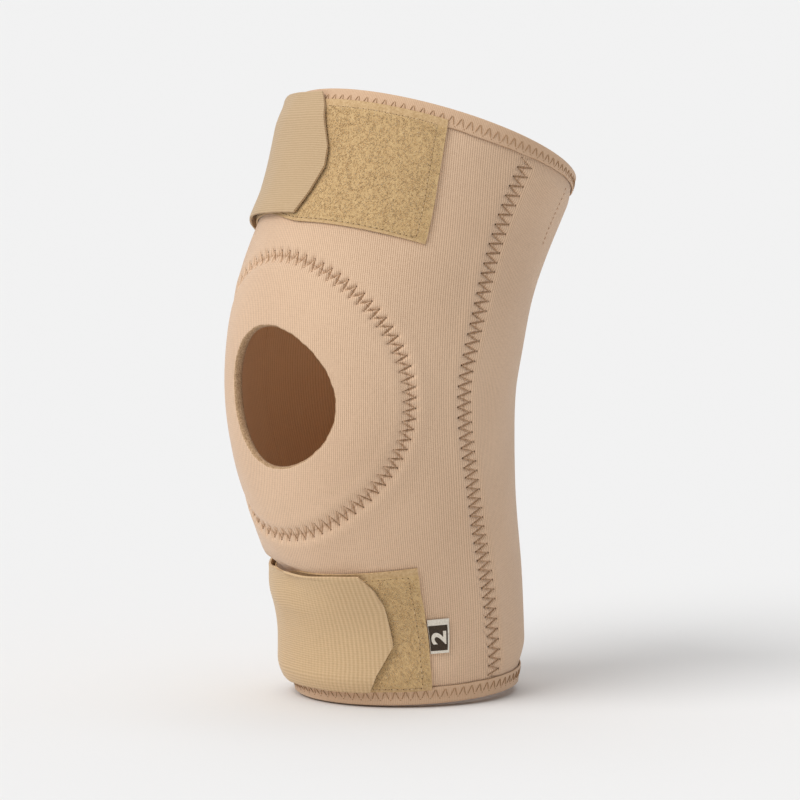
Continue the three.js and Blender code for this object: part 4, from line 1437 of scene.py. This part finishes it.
def assemble():
    """Makes every piece, hides the CAD parts that they replace and gives the hook tabs their finish."""
    panels = [(front_panel(), "front_panel"), (back_panel(), "back_panel"), (patella_ring(), "patella_ring")]
    attach([piece for piece, _ in panels])
    for piece, node in panels:
        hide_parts(node)
    seams = [*ring_stitches(), *side_stitches(1), *side_stitches(-1), back_stitches()]
    attach(seams)
    top = binding("thigh_binding", THIGH_EDGE, THIGH_BINDING_LEG)
    bottom = binding("calf_binding", CALF_EDGE, CALF_BINDING_LEG)
    top_seam = binding_stitches("thigh_binding_stitches", THIGH_EDGE, TOP_ZIGZAG)
    bottom_seam = binding_stitches("calf_binding_stitches", CALF_EDGE, BOTTOM_ZIGZAG)
    attach([top, bottom, top_seam, bottom_seam])
    for piece, node, seam, edge, leg in (
        (top, "top_binding", top_seam, THIGH_EDGE, THIGH_BINDING_LEG),
        (bottom, "bottom_binding", bottom_seam, CALF_EDGE, CALF_BINDING_LEG),
    ):
        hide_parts(node)
        round_length = edge_round(edge)[1][-1]
    loop, scatter = pile_shape(), pile_tree()
    for name, patch, strap, patch_node, strap_node in (
        ("upper", UPPER_PATCH, UPPER_STRAP, "upper_loop_patch", "upper_strap"),
        ("lower", LOWER_PATCH, LOWER_STRAP, "lower_loop_patch", "lower_strap"),
    ):
        cloth = loop_patch(f"{name}_patch_cloth", patch)
        pile = patch_pile(f"{name}_patch_pile", patch, strap, loop, scatter)
        seam = patch_stitches(f"{name}_patch_stitches", patch)
        attach([cloth, pile, *seam])
        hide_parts(patch_node)
        elastic = elastic_strap(f"{name}_strap_elastic", strap)
        ends = sewn_end(f"{name}_strap_stitches", strap)
        attach([elastic, *ends])
        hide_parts(strap_node)
    bpy.data.objects.remove(loop)
    tag, box, numeral = size_label(), printed_box(), printed_numeral()
    attach([tag, box, numeral])
    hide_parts("size_label")
    for node in ("upper_hook_tab", "lower_hook_tab"):
        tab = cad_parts[node]
        tab.data.materials.clear()
        tab.data.materials.append(HOOKS)
    bpy.data.objects.remove(STITCH)


assemble()


# Camera, light and floor

def way_from(azimuth, elevation):
    """Direction from the object to a place seen at an azimuth and an elevation."""
    azimuth = math.radians(azimuth)
    elevation = math.radians(elevation)
    level_reach = math.cos(elevation)
    return Vector((math.sin(azimuth) * level_reach, -math.cos(azimuth) * level_reach, math.sin(elevation)))


def set_camera():
    azimuth = math.radians(CAMERA_AZIMUTH)
    back_way = way_from(CAMERA_AZIMUTH, CAMERA_ELEVATION)
    right_way = Vector((math.cos(azimuth), math.sin(azimuth), 0))
    up_way = back_way.cross(right_way)
    target = right_way * CAMERA_ACROSS + up_way * CAMERA_UP
    camera = bpy.data.objects.new("camera", bpy.data.cameras.new("camera"))
    bpy.context.scene.collection.objects.link(camera)
    camera.location = (target + back_way * CAMERA_DISTANCE) * MM
    camera.rotation_mode = "QUATERNION"
    camera.rotation_quaternion = (-back_way).to_track_quat("-Z", "Y")
    camera.data.lens = CAMERA_LENS
    camera.data.sensor_width = 36
    camera.data.clip_end = 200
    bpy.context.scene.camera = camera


def set_floor():
    """Pale floor that reaches past the view, just under the calf edge."""
    mesh = bpy.data.meshes.new("floor")
    reach = 60
    height = cad_box[0].z - 0.0005
    corners = [(x * reach, y * reach, height) for x, y in ((-1, -1), (1, -1), (1, 1), (-1, 1))]
    mesh.from_pydata(corners, [], [(0, 1, 2, 3)])
    finish = bpy.data.materials.new("pale_floor")
    finish.use_nodes = True
    shader = finish.node_tree.nodes["Principled BSDF"]
    shader.inputs["Base Color"].default_value = (0.85, 0.85, 0.85, 1)
    shader.inputs["Roughness"].default_value = 1.0
    shader.inputs["Specular IOR Level"].default_value = 0.0
    mesh.materials.append(finish)
    place_piece("floor", mesh)


def add_sun(name, strength, azimuth, elevation, softness):
    """Soft distant light from an azimuth counted as the camera's is, and an elevation."""
    lamp = bpy.data.objects.new(name, bpy.data.lights.new(name, "SUN"))
    lamp.data.energy = strength
    lamp.data.angle = math.radians(softness)
    lamp.rotation_mode = "QUATERNION"
    lamp.rotation_quaternion = way_from(azimuth, elevation).to_track_quat("Z", "Y")
    bpy.context.scene.collection.objects.link(lamp)


def set_light():
    world = bpy.data.worlds.new("studio")
    world.use_nodes = True
    world.node_tree.nodes["Background"].inputs[0].default_value = (1, 1, 1, 1)
    world.node_tree.nodes["Background"].inputs[1].default_value = 0.46
    bpy.context.scene.world = world
    add_sun("key", 1.75, CAMERA_AZIMUTH - 52, 46, 40)
    add_sun("top", 0.6, CAMERA_AZIMUTH + 170, 72, 60)
    bpy.context.scene.view_settings.view_transform = "Standard"


set_camera()
set_floor()
set_light()
